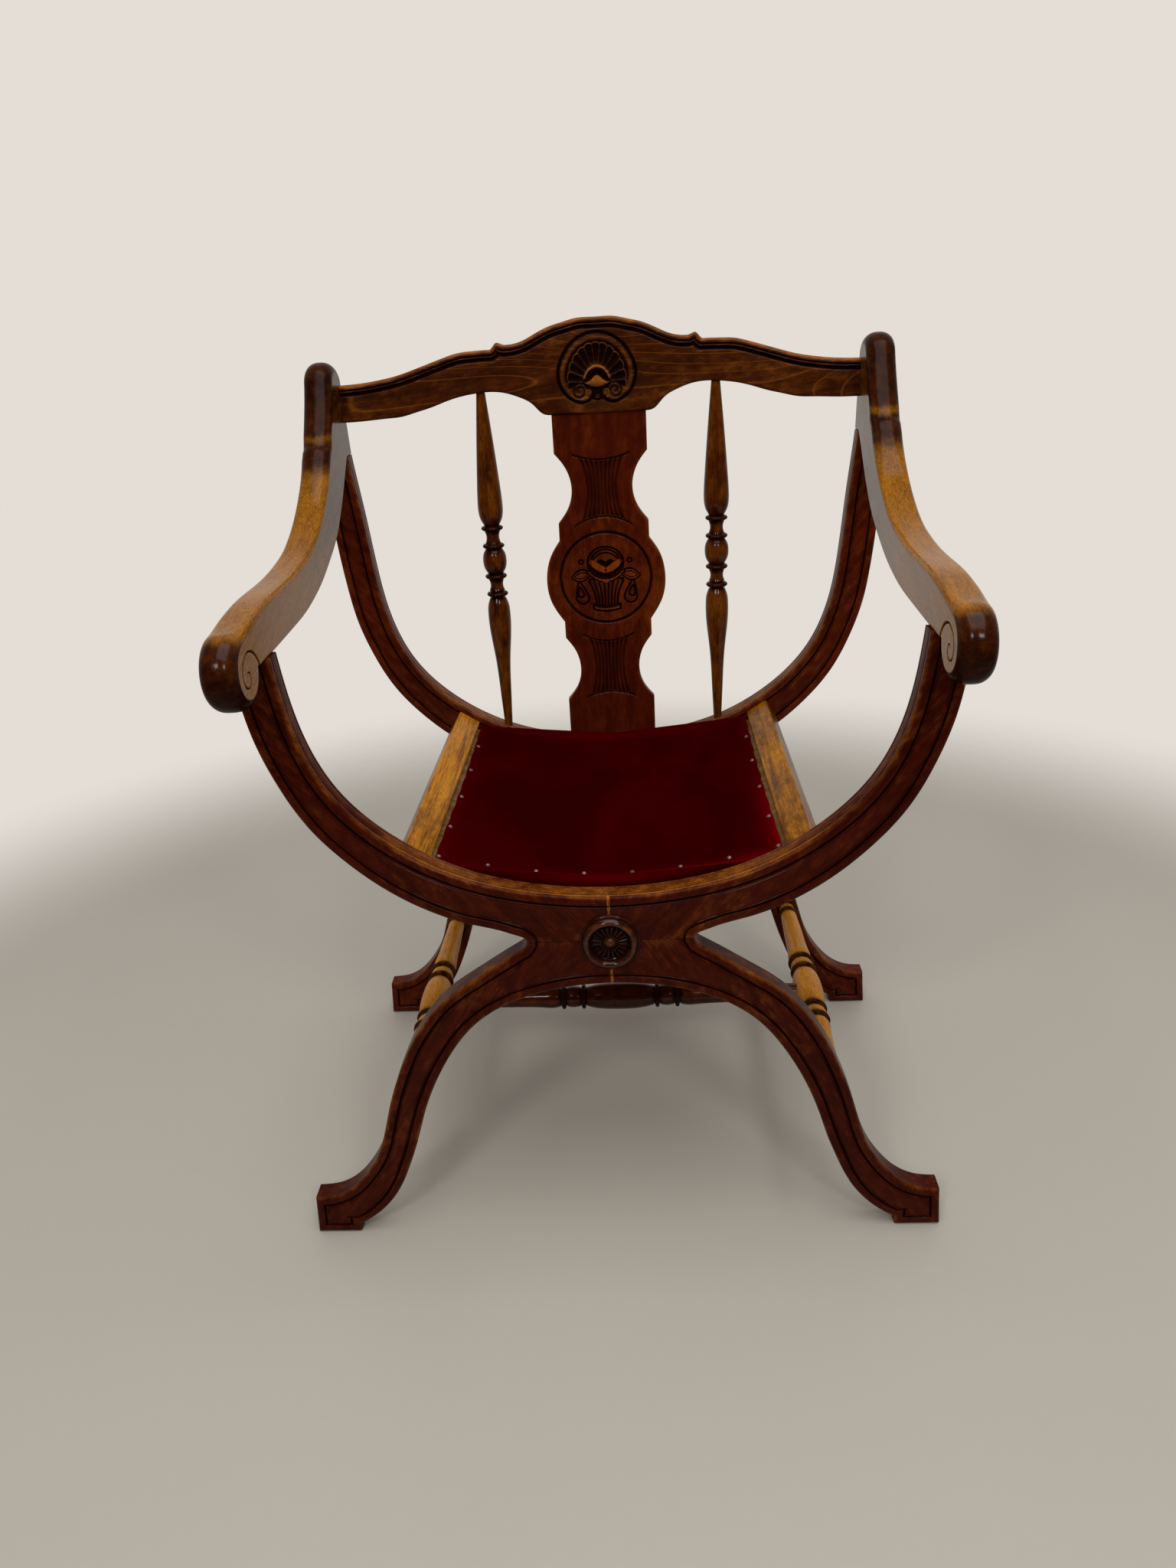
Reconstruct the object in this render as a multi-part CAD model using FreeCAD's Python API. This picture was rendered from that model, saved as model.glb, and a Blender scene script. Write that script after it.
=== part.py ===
import FreeCAD, Part
import math
import os
from FreeCAD import Placement, Rotation, Vector

# A savonarola armchair: two curved X frames, front and rear, tied by scrolled arms, a dished seat,
# turned stretchers and a carved back. X runs to the sitter's left as seen from the front, -Y is the
# front, Z is up. Millimetres. The origin is under the middle of the whole chair, on the floor.

# Frames
timber = 24.0
frame_pitch = 420.0
crossing_height = 370.0
throat_above = 47.5
throat_below = 50.0
crotch_reach = 82.0
front_tip_height = 667.0
arm_climb = 124.0
tip_width = 33.0

# Feet
toe_reach = 344.0
toe_height = 47.5
toe_set_in = 3.0
foot_length = 49.0
heel_step = 10.0

# Mouldings cut into the front face of each frame
groove_width = 2.5
groove_depth = 2.0
groove_inset = 9.0

# Armrests: flat boards, a little wider apart at the back
arm_width = 32.0
arm_gap_front = 290.0
arm_gap_rear = 301.0
scroll_radius = 33.5
scroll_overhang = 86.0
scroll_lift = 5.0
post_rise = 230.0
post_depth = 58.0
post_shoulder = 18.0
arm_rounding = 9.0

# Back
crest_thickness = 18.0
crest_end_height = 41.0
crest_end_lift = 79.0
crest_rise = 59.0
crest_arch_rise = 25.5
splat_thickness = 12.0
splat_half_width = 73.5
splat_tenon = 10.0
spindle_reach = 137.0
spindle_diameter = 29.0
spindle_socket = 12.0
bead_length = 3.5

# Seat
seat_half_width = 173.0
rail_reach = 24.5
rail_drop = 9.5
rail_thickness = 24.0
bed_drop = 8.0
pad_side_height = 10.0
pad_end_height = 12.0
pad_crown = 8.0
pad_roll = 4.0
panel_thickness = 8.0
cleat_width = 18.0
cleat_thickness = 16.0

# Stretchers
stretcher_diameter = 35.0
cross_diameter = 33.0
stretcher_socket = 12.0
stretcher_pin = 14.0

# Crossing boss, dowels and the gap left round soft parts
rosette_diameter = 60.0
rosette_thickness = 10.0
rosette_spigot = 16.0
dowel_diameter = 8.0
dowel_length = 36.0
cloth_clearance = 0.3
overrun = 5.0
arc_tolerance = 0.5
curve_tolerance = 0.003
match_distance = 0.3
full_turn = 360

# Outline shares: each pair is (across, up) as a share of the curve's own width and height
seat_curve_shares = ((0, 0), (0.243, 0.017), (0.449, 0.062), (0.674, 0.165), (0.834, 0.301),
                     (0.920, 0.467), (0.952, 0.625), (0.976, 0.823), (1, 1))
outer_curve_shares = ((0, 0), (0.003, 0.005), (0.016, 0.012), (0.040, 0.018), (0.087, 0.029),
                      (0.218, 0.052), (0.357, 0.086), (0.500, 0.138), (0.659, 0.221),
                      (0.782, 0.311), (0.873, 0.420), (0.929, 0.523), (0.956, 0.618),
                      (0.972, 0.705), (1, 1))
leg_outer_shares = ((0, 1), (0.004, 0.988), (0.017, 0.975), (0.039, 0.963), (0.085, 0.940),
                    (0.210, 0.873), (0.342, 0.795), (0.438, 0.705), (0.508, 0.612),
                    (0.562, 0.516), (0.613, 0.405), (0.655, 0.287), (0.698, 0.188),
                    (0.756, 0.110), (0.834, 0.042), (0.916, 0.008), (1, 0))
leg_inner_shares = ((0, 1), (0.205, 0.979), (0.366, 0.926), (0.479, 0.852), (0.579, 0.732),
                    (0.664, 0.577), (0.705, 0.474), (0.743, 0.358), (0.781, 0.261),
                    (0.829, 0.161), (0.887, 0.084), (0.955, 0.026), (1, 0))
arm_top_shares = ((0.045, 0.196), (0.248, 0.204), (0.372, 0.222), (0.462, 0.252), (0.541, 0.304),
                  (0.613, 0.374), (0.676, 0.470), (0.734, 0.583), (0.788, 0.704), (0.836, 0.830),
                  (0.865, 0.926))
arm_under_shares = ((0, 0), (0.192, 0.016), (0.303, 0.032), (0.407, 0.073), (0.508, 0.137),
                    (0.634, 0.258), (0.740, 0.387), (0.823, 0.548), (0.881, 0.685),
                    (0.949, 0.871), (1, 1))
crest_top_shares = ((0, 1), (0.070, 0.995), (0.120, 0.941), (0.173, 0.873), (0.233, 0.746),
                    (0.292, 0.619), (0.326, 0.585))
crest_notch_shares = ((0.352, 0.581), (0.380, 0.636), (0.403, 0.508))
crest_shoulder_shares = ((0.438, 0.508), (0.482, 0.500), (0.528, 0.483), (0.588, 0.407),
                         (0.648, 0.314), (0.708, 0.220), (0.764, 0.141), (0.841, 0.068),
                         (0.900, 0.029), (1, 0))
crest_under_shares = ((0.189, -0.137), (0.209, -0.098), (0.254, 0.373), (0.304, 0.706),
                      (0.359, 0.922), (0.415, 1), (0.475, 0.961), (0.532, 0.863),
                      (0.591, 0.686), (0.648, 0.471), (0.714, 0.275), (0.764, 0.137),
                      (0.834, 0.078), (0.917, 0.020), (1, 0))
splat_neck_shares = ((0.755, 0.892), (0.633, 0.865), (0.517, 0.818), (0.503, 0.777),
                     (0.592, 0.728), (0.745, 0.691))
splat_cheek_shares = ((0.748, 0.639), (0.912, 0.593), (1, 0.524), (0.946, 0.455), (0.741, 0.391))
splat_waist_shares = ((0.741, 0.340), (0.592, 0.301), (0.510, 0.239), (0.585, 0.180),
                      (0.755, 0.139))

# How steeply the seat curve meets its tip and the leg curve its heel, and where dowels sit
tip_lean_share = 0.33
heel_fall_share = 0.50
frame_dowel_share = 0.59
cross_seat_share = 0.45
stretcher_reach_share = 0.6715
stretcher_height_share = 0.419

# The pad's nailed rim and crown along its depth, as (along, rise) shares of depth and crown
pad_rim_share = 0.05
pad_crown_shares = ((0.18, 0.70), (0.34, 0.93), (0.50, 1))

# Turning shares: (along, radius) as shares of the turned piece's length and largest radius
spindle_foot_shares = ((0, 0.42), (0.288, 0.95), (0.360, 0.99), (0.412, 0.62))
spindle_head_shares = ((0.640, 0.62), (0.680, 1), (0.722, 0.98), (1, 0.38))
spindle_ring_shares = (0.426, 0.477, 0.567, 0.625)
spindle_bulb_share = 0.523
spindle_neck_share = 0.60
spindle_bead_share = 0.85
stretcher_bulb_shares = ((0, 1), (0.090, 0.97), (0.170, 0.76))
stretcher_taper_shares = ((0.370, 0.76), (0.970, 0.60))
stretcher_ring_shares = (0.202, 0.313)
stretcher_bead_share = 0.89
stretcher_collar_share = 0.72
rosette_shares = ((0, 1), (0.75, 1), (0.95, 0.87), (0.45, 0.74), (0.45, 0.26), (1, 0.20))
cross_bulb_shares = ((0, 1), (0.100, 0.97), (0.170, 0.72))
cross_taper_shares = ((0.345, 0.72), (0.999, 0.62))

# Derived places
splay = math.atan2(arm_gap_rear - arm_gap_front, frame_pitch)
scroll_reach = scroll_overhang * math.cos(splay) + (arm_width - arm_rounding) * math.sin(splay)
rear_reach = max(timber, (timber + spindle_diameter) / 2)
overall_depth = scroll_reach + frame_pitch + rear_reach
front_face = scroll_reach - overall_depth / 2
rear_face = front_face + frame_pitch
back_line = rear_face + timber / 2
seat_front = front_face + timber
seat_depth = frame_pitch - timber
seat_middle = seat_front + seat_depth / 2
seat_dip = crossing_height + throat_above
arch_top = crossing_height - throat_below
rear_tip_height = front_tip_height + arm_climb
rear_tip_rise = rear_tip_height - seat_dip
heel_reach = toe_reach - foot_length
stretcher_reach = toe_reach * stretcher_reach_share
stretcher_height = crossing_height * stretcher_height_share
crest_end_top = rear_tip_height + crest_end_lift
crest_peak = crest_end_top + crest_rise
crest_end_foot = crest_end_top - crest_end_height
crest_shoulder = crest_end_foot + crest_arch_rise * crest_under_shares[0][1]


def flat(x, z):
    """A point in the plane of a frame's front face."""
    return Vector(x, 0, z)


def curve(points, start=None, end=None):
    """A smooth curve through the points, with its end directions where they are given."""
    line = Part.BSplineCurve()
    if start is None:
        line.interpolate(Points=points)
    else:
        line.interpolate(Points=points, InitialTangent=start, FinalTangent=end)
    return line


def arcs(line):
    """The edges of a curve, as a chain of arcs that a saw and a spokeshave could follow."""
    return [arc.toShape() for arc in line.toBiArcs(arc_tolerance)]


def straight(first, last):
    """A straight edge between two points."""
    return Part.makeLine(first, last)


def slab(edges, direction):
    """A solid made by moving the closed outline along a direction."""
    return Part.Face(Part.Wire(Part.sortEdges(edges)[0])).extrude(direction)


def mirrored(shape):
    """The same piece for the other side of the chair."""
    return shape.mirror(Vector(), Vector(1, 0, 0))


def moved(shape, y):
    """A copy of the shape moved along Y."""
    copy = shape.copy()
    copy.translate(Vector(0, y, 0))
    return copy


def cut_all(shape, tools):
    """The shape with every tool cut from it."""
    for tool in tools:
        shape = shape.cut(tool)
    return shape


def turned(profile, base, axis):
    """A turned piece: the profile is (distance along the axis, radius) pairs from end to end."""
    points = [Vector(radius, 0, along) for along, radius in profile]
    foot = Vector(0, 0, profile[0][0])
    head = Vector(0, 0, profile[-1][0])
    outline = Part.makePolygon([foot] + points + [head, foot])
    solid = Part.Face(outline).revolve(Vector(), Vector(0, 0, 1), full_turn)
    solid.Placement = Placement(base, Rotation(Vector(0, 0, 1), axis))
    return solid


def dowel(centre, axis, length):
    """A plain dowel round its centre point."""
    start = centre - axis * (length / 2)
    return Part.makeCylinder(dowel_diameter / 2, length, start, axis)


# Frame curves, in the plane of a front face
def seat_curve():
    """The inner edge of an upper quarter, from the middle of the seat to its tip."""
    points = [flat(arm_gap_rear * a, seat_dip + rear_tip_rise * u) for a, u in seat_curve_shares]
    lean = Vector(arm_gap_rear - arm_gap_front, 0, rear_tip_rise * tip_lean_share)
    return curve(points, Vector(1, 0, 0), lean)


def outer_curve():
    """The outer edge of an upper quarter, from the crotch to its tip."""
    span = arm_gap_rear + tip_width - crotch_reach
    rise = rear_tip_height - crossing_height
    return curve([flat(crotch_reach + span * a, crossing_height + rise * u)
                  for a, u in outer_curve_shares])


def leg_outer_curve():
    """The outer edge of a lower quarter, from the crotch to the top of the toe."""
    span = toe_reach - toe_set_in - crotch_reach
    rise = crossing_height - toe_height
    return curve([flat(crotch_reach + span * a, toe_height + rise * u) for a, u in leg_outer_shares])


def leg_inner_curve():
    """The inner edge of a lower quarter, from the top of the arch to the heel."""
    rise = arch_top - heel_step
    return curve([flat(heel_reach * a, heel_step + rise * u) for a, u in leg_inner_shares],
                 Vector(1, 0, 0), Vector(foot_length, 0, -foot_length * heel_fall_share))


def upper_quarter():
    """The curved piece that carries an arm, as tall as the rear one."""
    inner = seat_curve()
    outer = outer_curve()
    outline = ([straight(flat(0, crossing_height), flat(0, seat_dip))] + arcs(inner)
               + [straight(inner.EndPoint, outer.EndPoint)] + arcs(outer)
               + [straight(outer.StartPoint, flat(0, crossing_height))])
    return slab(outline, Vector(0, timber, 0))


def lower_quarter():
    """The curved leg with its square foot."""
    inner = leg_inner_curve()
    outer = leg_outer_curve()
    toe = flat(toe_reach, 0)
    heel = flat(heel_reach, 0)
    outline = ([straight(flat(0, crossing_height), outer.StartPoint)] + arcs(outer)
               + [straight(outer.EndPoint, toe), straight(toe, heel),
                  straight(heel, inner.EndPoint)] + arcs(inner)
               + [straight(inner.StartPoint, flat(0, crossing_height))])
    return slab(outline, Vector(0, timber, 0))


def run_beside(line, distance, trail):
    """Points beside a curve at a steady distance, run on past its start and by trail at its end."""
    first, last = line.FirstParameter, line.LastParameter
    stations = line.NbPoles
    points = []
    for index in range(stations + 1):
        place = first + (last - first) * index / stations
        along = line.tangent(place)[0]
        aside = Vector(along.z, 0, -along.x) * distance
        points.append(line.value(place) + aside)
    lead = (points[0] - points[1]).normalize() * timber
    beyond = (points[-1] - points[-2]).normalize() * trail
    return [points[0] + lead] + points + [points[-1] + beyond]


def groove(line, inset, trail):
    """The cutter for one groove beside an edge curve of a frame piece."""
    side = math.copysign(groove_width, inset)
    near = run_beside(line, inset, trail)
    far = run_beside(line, inset + side, trail)
    outline = (arcs(curve(near)) + [straight(near[-1], far[-1])] + arcs(curve(far))
               + [straight(far[0], near[0])])
    return slab(outline, Vector(0, groove_depth, 0))


def build_frames():
    """The eight quarter pieces of both X frames, with the grooves in their front faces."""
    box_size = 2 * (toe_reach + overrun)
    upper_room = Part.makeBox(box_size, timber, box_size, flat(0, crossing_height))
    lower_room = Part.makeBox(box_size, timber, crossing_height, flat(0, 0))
    upper_grooves = [groove(seat_curve(), groove_inset, timber),
                     groove(outer_curve(), -groove_inset, timber)]
    lower_grooves = [groove(leg_outer_curve(), groove_inset, timber),
                     groove(leg_inner_curve(), -groove_inset, groove_width)]
    upper = cut_all(upper_quarter(), [tool.common(upper_room) for tool in upper_grooves])
    lower = cut_all(lower_quarter(), [tool.common(lower_room) for tool in lower_grooves])
    above_front_tip = Part.makeBox(box_size, timber, box_size, flat(0, front_tip_height))
    front_upper = upper.cut(above_front_tip)
    pieces = {"front_upper_right": moved(front_upper, front_face),
              "front_lower_right": moved(lower, front_face),
              "rear_upper_right": moved(upper, rear_face),
              "rear_lower_right": moved(lower, rear_face)}
    for name in list(pieces):
        pieces[name.replace("right", "left")] = mirrored(pieces[name])
    return pieces


def frame_dowels(face):
    """Two level dowels across the upright seam and two upright ones through the level seam."""
    middle = face + timber / 2
    reach = crotch_reach * frame_dowel_share
    level = [dowel(Vector(0, middle, crossing_height + sign * throat_above / 2), Vector(1, 0, 0),
                   dowel_length) for sign in (-1, 1)]
    upright = [dowel(Vector(sign * reach, middle, crossing_height), Vector(0, 0, 1),
                     dowel_length) for sign in (-1, 1)]
    return level + upright


def build_rosette():
    """The turned boss over the front crossing: a spigot, a dished face, a ring and a button."""
    radius = rosette_diameter / 2
    deep = rosette_thickness
    spigot = [(-timber / 2, rosette_spigot / 2), (0, rosette_spigot / 2)]
    profile = spigot + [(deep * out, radius * reach) for out, reach in rosette_shares]
    return turned(profile, Vector(0, front_face, crossing_height), Vector(0, -1, 0))


# Armrests
def arm_place():
    """The placement that turns an arm's own plane to the splay of the right arm."""
    return Placement(Vector(arm_gap_front, front_face, 0),
                     Rotation(Vector(0, 0, 1), -math.degrees(splay)))


def side(y, z):
    """A point on the inner face of an arm, measured back and up from the front tip."""
    return Vector(0, y, front_tip_height + z)


def arm_outline():
    """The edges of an arm's sawn outline: those that are rounded over, then the rest."""
    length = frame_pitch + timber
    centre = side(scroll_radius - scroll_overhang, scroll_lift)
    reach = Vector(0, scroll_radius, 0)
    rise = Vector(0, 0, scroll_radius)
    slant = 1 / math.sqrt(2)
    heel = Vector(0, centre.y + math.sqrt(scroll_radius ** 2 - scroll_lift ** 2), front_tip_height)
    back_foot = side(length, arm_climb)
    back_head = side(length, post_rise - post_shoulder)
    crown = side(length - post_depth / 2, post_rise)
    top_points = [side(length * a, post_rise * u) for a, u in arm_top_shares]
    finial = Part.Arc(top_points[-1], crown, back_head).toShape()
    lead = finial.tangentAt(finial.FirstParameter)
    top = curve([centre + rise] + top_points, Vector(0, 1, 0), lead)
    under = curve([side(timber + seat_depth * a, arm_climb * u)
                   for a, u in arm_under_shares])
    scroll = [Part.Arc(centre - rise, centre - (reach + rise) * slant, centre - reach).toShape(),
              Part.Arc(centre - reach, centre + (rise - reach) * slant, centre + rise).toShape()]
    rounded = scroll + arcs(top) + [finial]
    plain = ([straight(back_head, back_foot), straight(back_foot, under.EndPoint)] + arcs(under)
             + [straight(under.StartPoint, heel),
                Part.Arc(heel, centre + (reach - rise) * slant, centre - rise).toShape()])
    return rounded, plain


def middle_of(line):
    """The middle of an edge, seen along X."""
    spot = line.valueAt((line.FirstParameter + line.LastParameter) / 2)
    return Vector(0, spot.y, spot.z)


def rounded_arm():
    """One arm: scroll, rest and back post sawn from a board, its worn edges rounded over."""
    rounded, plain = arm_outline()
    board = slab(rounded + plain, Vector(arm_width / 2, 0, 0))
    wanted = [middle_of(line) for line in rounded]
    picked = [line for line in board.Edges if line.BoundBox.XMax < match_distance
              and min(middle_of(line).distanceToPoint(spot) for spot in wanted) < match_distance]
    inner = board.makeFillet(arm_rounding, picked)
    outer = inner.mirror(Vector(arm_width / 2, 0, 0), Vector(1, 0, 0))
    return inner.fuse(outer).removeSplitter()


def build_arms():
    """Both armrests at their splay."""
    arm = rounded_arm()
    arm.Placement = arm_place().multiply(arm.Placement)
    return {"right_armrest": arm, "left_armrest": mirrored(arm)}


def beyond_arms():
    """Two blocks that fill everything outside the arms' inner faces."""
    size = 2 * overall_depth
    block = Part.makeBox(size, size, size, Vector(0, -size / 2, 0))
    block.Placement = arm_place().multiply(block.Placement)
    return [block, mirrored(block)]


def arm_dowels():
    """One upright dowel in each tip of both frames."""
    pegs = []
    for sign in (-1, 1):
        front_spot = Vector(sign * (arm_gap_front + arm_width / 2), front_face + timber / 2,
                            front_tip_height)
        rear_spot = Vector(sign * (arm_gap_rear + arm_width / 2), back_line, rear_tip_height)
        pegs.append(dowel(front_spot, Vector(0, 0, 1), dowel_length))
        pegs.append(dowel(rear_spot, Vector(0, 0, 1), dowel_length))
    return pegs


# Back
def both_halves(half, thickness):
    """A board symmetric about the middle of the chair, from the outline of its right half."""
    right = slab(half, Vector(0, thickness, 0))
    whole = right.fuse(mirrored(right)).removeSplitter()
    return moved(whole, back_line - thickness / 2)


def crest_under_curve():
    """The arched lower edge of the crest rail, from the splat's shoulder to the post."""
    return curve([flat(arm_gap_rear * a, crest_end_foot + crest_arch_rise * u)
                  for a, u in crest_under_shares])


def build_crest():
    """The arched top rail, notched each side of its middle and trimmed to the arms."""
    top, notch, shoulder = [[flat(arm_gap_rear * a, crest_end_top + crest_rise * u)
                             for a, u in shares]
                            for shares in (crest_top_shares, crest_notch_shares,
                                           crest_shoulder_shares)]
    under = crest_under_curve()
    end_top = shoulder[-1] + Vector(overrun, 0, 0)
    end_foot = under.EndPoint + Vector(overrun, 0, 0)
    half = ([straight(flat(0, crest_shoulder), top[0])] + arcs(curve(top))
            + [straight(top[-1], notch[0]), straight(notch[0], notch[1]),
               straight(notch[1], notch[2]), straight(notch[2], shoulder[0])]
            + arcs(curve(shoulder))
            + [straight(shoulder[-1], end_top), straight(end_top, end_foot),
               straight(end_foot, under.EndPoint)]
            + arcs(under) + [straight(under.StartPoint, flat(0, crest_shoulder))])
    return cut_all(both_halves(half, crest_thickness), beyond_arms())


def crest_dowels():
    """Two level dowels in each end of the crest rail."""
    pegs = []
    for sign in (-1, 1):
        for quarter in (1, 3):
            height = crest_end_top - crest_end_height * quarter / 4
            pegs.append(dowel(Vector(sign * arm_gap_rear, back_line, height), Vector(1, 0, 0),
                              dowel_length))
    return pegs


def build_splat():
    """The carved middle board, tenoned into the crest rail and into the rear frame."""
    rise = crest_shoulder - seat_dip
    neck, cheek, waist = [[flat(splat_half_width * a, seat_dip + rise * u) for a, u in shares]
                          for shares in (splat_neck_shares, splat_cheek_shares,
                                         splat_waist_shares)]
    head = Vector(neck[0].x, 0, crest_shoulder + splat_tenon)
    foot = Vector(waist[-1].x, 0, seat_dip - splat_tenon)
    half = ([straight(flat(0, foot.z), flat(0, head.z)), straight(flat(0, head.z), head),
             straight(head, neck[0])] + arcs(curve(neck)) + [straight(neck[-1], cheek[0])]
            + arcs(curve(cheek)) + [straight(cheek[-1], waist[0])] + arcs(curve(waist))
            + [straight(waist[-1], foot), straight(foot, flat(0, foot.z))])
    return both_halves(half, splat_thickness)


def height_at(line, reach):
    """The height of a curve that only moves outwards, at a distance from the middle."""
    low, high = line.FirstParameter, line.LastParameter
    while abs(line.value(high).x - line.value(low).x) > curve_tolerance:
        middle = (low + high) / 2
        if line.value(middle).x < reach:
            low = middle
        else:
            high = middle
    return line.value(low).z


def bead(centre, waist, radius):
    """The four profile points of one turned bead, a plain raised band."""
    reach = bead_length / 2
    return [(centre - reach, waist), (centre - reach, radius),
            (centre + reach, radius), (centre + reach, waist)]


def build_spindle():
    """The right turned spindle: two vases about a ringed bulb, pinned at both ends."""
    foot = height_at(seat_curve(), spindle_reach)
    head = height_at(crest_under_curve(), spindle_reach)
    length = head - foot
    radius = spindle_diameter / 2
    waist = radius * spindle_neck_share
    crown = radius * spindle_bead_share
    lower = [(length * a, radius * r) for a, r in spindle_foot_shares]
    upper = [(length * a, radius * r) for a, r in spindle_head_shares]
    beads = [bead(length * a, waist, crown) for a in spindle_ring_shares]
    bulb = [(length * spindle_bulb_share, radius)]
    first = [(-spindle_socket, lower[0][1])]
    last = [(length + spindle_socket, upper[-1][1])]
    profile = first + lower + beads[0] + beads[1] + bulb + beads[2] + beads[3] + upper + last
    return turned(profile, Vector(spindle_reach, back_line, foot), Vector(0, 0, 1))


# Seat
def rail_axes():
    """The inner top corner of the right side rail, the way along its slope and the way down."""
    line = seat_curve()
    far = seat_half_width + rail_reach
    inner = flat(seat_half_width, height_at(line, seat_half_width) - rail_drop)
    outer = flat(far, height_at(line, far) - rail_drop)
    along = (outer - inner).normalize()
    return inner, outer, Vector(along.z, 0, -along.x)


def rail_corners():
    """The corners of a side rail's section: it follows the slope of the seat curve."""
    inner, outer, down = rail_axes()
    return [inner, outer, outer + down * rail_thickness, inner + down * rail_thickness]


def build_rail():
    """The right side rail of the seat, between the two frames."""
    corners = rail_corners()
    outline = Part.makePolygon(corners + corners[:1])
    rail = Part.Face(outline).extrude(Vector(0, seat_depth, 0))
    return moved(rail, seat_front)


def rail_dowels():
    """One dowel from each end of each rail into the frames."""
    corners = rail_corners()
    heart = (corners[0] + corners[2]) * 0.5
    pegs = []
    for sign in (-1, 1):
        for y in (seat_front, rear_face):
            pegs.append(dowel(Vector(sign * heart.x, y, heart.z), Vector(0, 1, 0),
                              dowel_length / 2))
    return pegs


def bed_arc(drop, lift, clearance):
    """An arc between the rails, a drop below their tops, with its middle lifted off the bed."""
    inner, outer, down = rail_axes()
    end = inner + down * drop - (outer - inner).normalize() * clearance
    middle = seat_dip - bed_drop + pad_side_height - drop + lift
    return Part.Arc(Vector(-end.x, 0, end.z), flat(0, middle), end)


def bent_board(drop, thickness, front, depth):
    """A board bent between the rails, its top a drop below theirs."""
    top = bed_arc(drop, 0, 0)
    under = bed_arc(drop + thickness, 0, 0)
    outline = [top.toShape(), straight(top.EndPoint, under.EndPoint), under.toShape(),
               straight(under.StartPoint, top.StartPoint)]
    return moved(slab(outline, Vector(0, depth, 0)), front)


def pad_section(y, sink, height):
    """One cross-section of the pad: its nailed sides sunk a little, its middle at a height."""
    under = bed_arc(pad_side_height, 0, cloth_clearance)
    top = bed_arc(sink, height - pad_side_height + sink, cloth_clearance)
    wire = Part.Wire([under.toShape(), straight(under.EndPoint, top.EndPoint), top.toShape(),
                      straight(top.StartPoint, under.StartPoint)])
    wire.translate(Vector(0, y, 0))
    return wire


def build_pad():
    """The stuffed velvet pad: low along its nailed edges and crowned between them."""
    depth = seat_depth - 2 * cloth_clearance
    front = seat_front + cloth_clearance
    rims = [(0, pad_roll, pad_end_height - pad_roll), (pad_rim_share, 0, pad_end_height)]
    inside = [(share, 0, pad_end_height + pad_crown * rise) for share, rise in pad_crown_shares]
    half = rims + inside
    whole = half + [(1 - share, sink, height) for share, sink, height in reversed(half[:-1])]
    return Part.makeLoft([pad_section(front + depth * share, sink, height)
                          for share, sink, height in whole], True, False)


# Stretchers
def half_turning(shares, tapers, beads, length, radius):
    """Half a stretcher's profile, from its middle bulb out to its end."""
    waist = radius * tapers[0][1]
    profile = [(length * a, radius * r) for a, r in shares]
    for a in beads:
        profile += bead(length * a, waist, radius * stretcher_bead_share)
    return profile + [(length * a, radius * r) for a, r in tapers]


def whole_turning(half, pin_radius, pin_end):
    """The full profile of a stretcher that is alike both ways from its middle."""
    right = half + [(half[-1][0], pin_radius), (pin_end, pin_radius)]
    left = [(-along, radius) for along, radius in reversed(right)]
    return left[:-1] + right


def build_side_stretcher():
    """The right side stretcher, pinned into the front and rear legs."""
    length = seat_depth / 2
    radius = stretcher_diameter / 2
    half = half_turning(stretcher_bulb_shares, stretcher_taper_shares, stretcher_ring_shares,
                        length, radius)
    last = radius * stretcher_taper_shares[-1][1]
    half += [(length - bead_length, last), (length - bead_length, radius * stretcher_collar_share),
             (length, radius * stretcher_collar_share)]
    profile = whole_turning(half, stretcher_pin / 2, length + stretcher_socket)
    return turned(profile, Vector(stretcher_reach, seat_middle, stretcher_height), Vector(0, 1, 0))


def build_cross_stretcher():
    """The stretcher that joins the bulbs of the two side stretchers."""
    length = stretcher_reach - stretcher_diameter * cross_seat_share
    radius = cross_diameter / 2
    half = half_turning(cross_bulb_shares, cross_taper_shares, stretcher_ring_shares, length,
                        radius)
    profile = whole_turning(half, stretcher_pin / 2, length + stretcher_socket)
    return turned(profile, Vector(0, seat_middle, stretcher_height), Vector(1, 0, 0))


def build_chair():
    """Every piece by its name, bored and socketed for what fits into it."""
    pieces = build_frames()
    pieces.update(build_arms())
    pegs = {"front_frame_dowels": frame_dowels(front_face),
            "rear_frame_dowels": frame_dowels(rear_face),
            "arm_dowels": arm_dowels(),
            "crest_dowels": crest_dowels(),
            "seat_rail_dowels": rail_dowels()}
    pieces["front_rosette"] = build_rosette()
    pieces["crest_rail"] = build_crest()
    pieces["back_splat"] = build_splat()
    pieces["right_spindle"] = build_spindle()
    pieces["right_seat_rail"] = build_rail()
    pieces["right_side_stretcher"] = build_side_stretcher()
    for name in ("right_spindle", "right_seat_rail", "right_side_stretcher"):
        pieces[name.replace("right", "left")] = mirrored(pieces[name])
    pieces["cross_stretcher"] = build_cross_stretcher()
    panel_drop = pad_side_height + cloth_clearance
    cleat_drop = panel_drop + panel_thickness
    pieces["seat_panel"] = bent_board(panel_drop, panel_thickness, seat_front, seat_depth)
    pieces["front_seat_cleat"] = bent_board(cleat_drop, cleat_thickness, seat_front, cleat_width)
    pieces["rear_seat_cleat"] = bent_board(cleat_drop, cleat_thickness, rear_face - cleat_width,
                                           cleat_width)
    pieces["seat_pad"] = build_pad()
    return pieces, pegs


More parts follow.
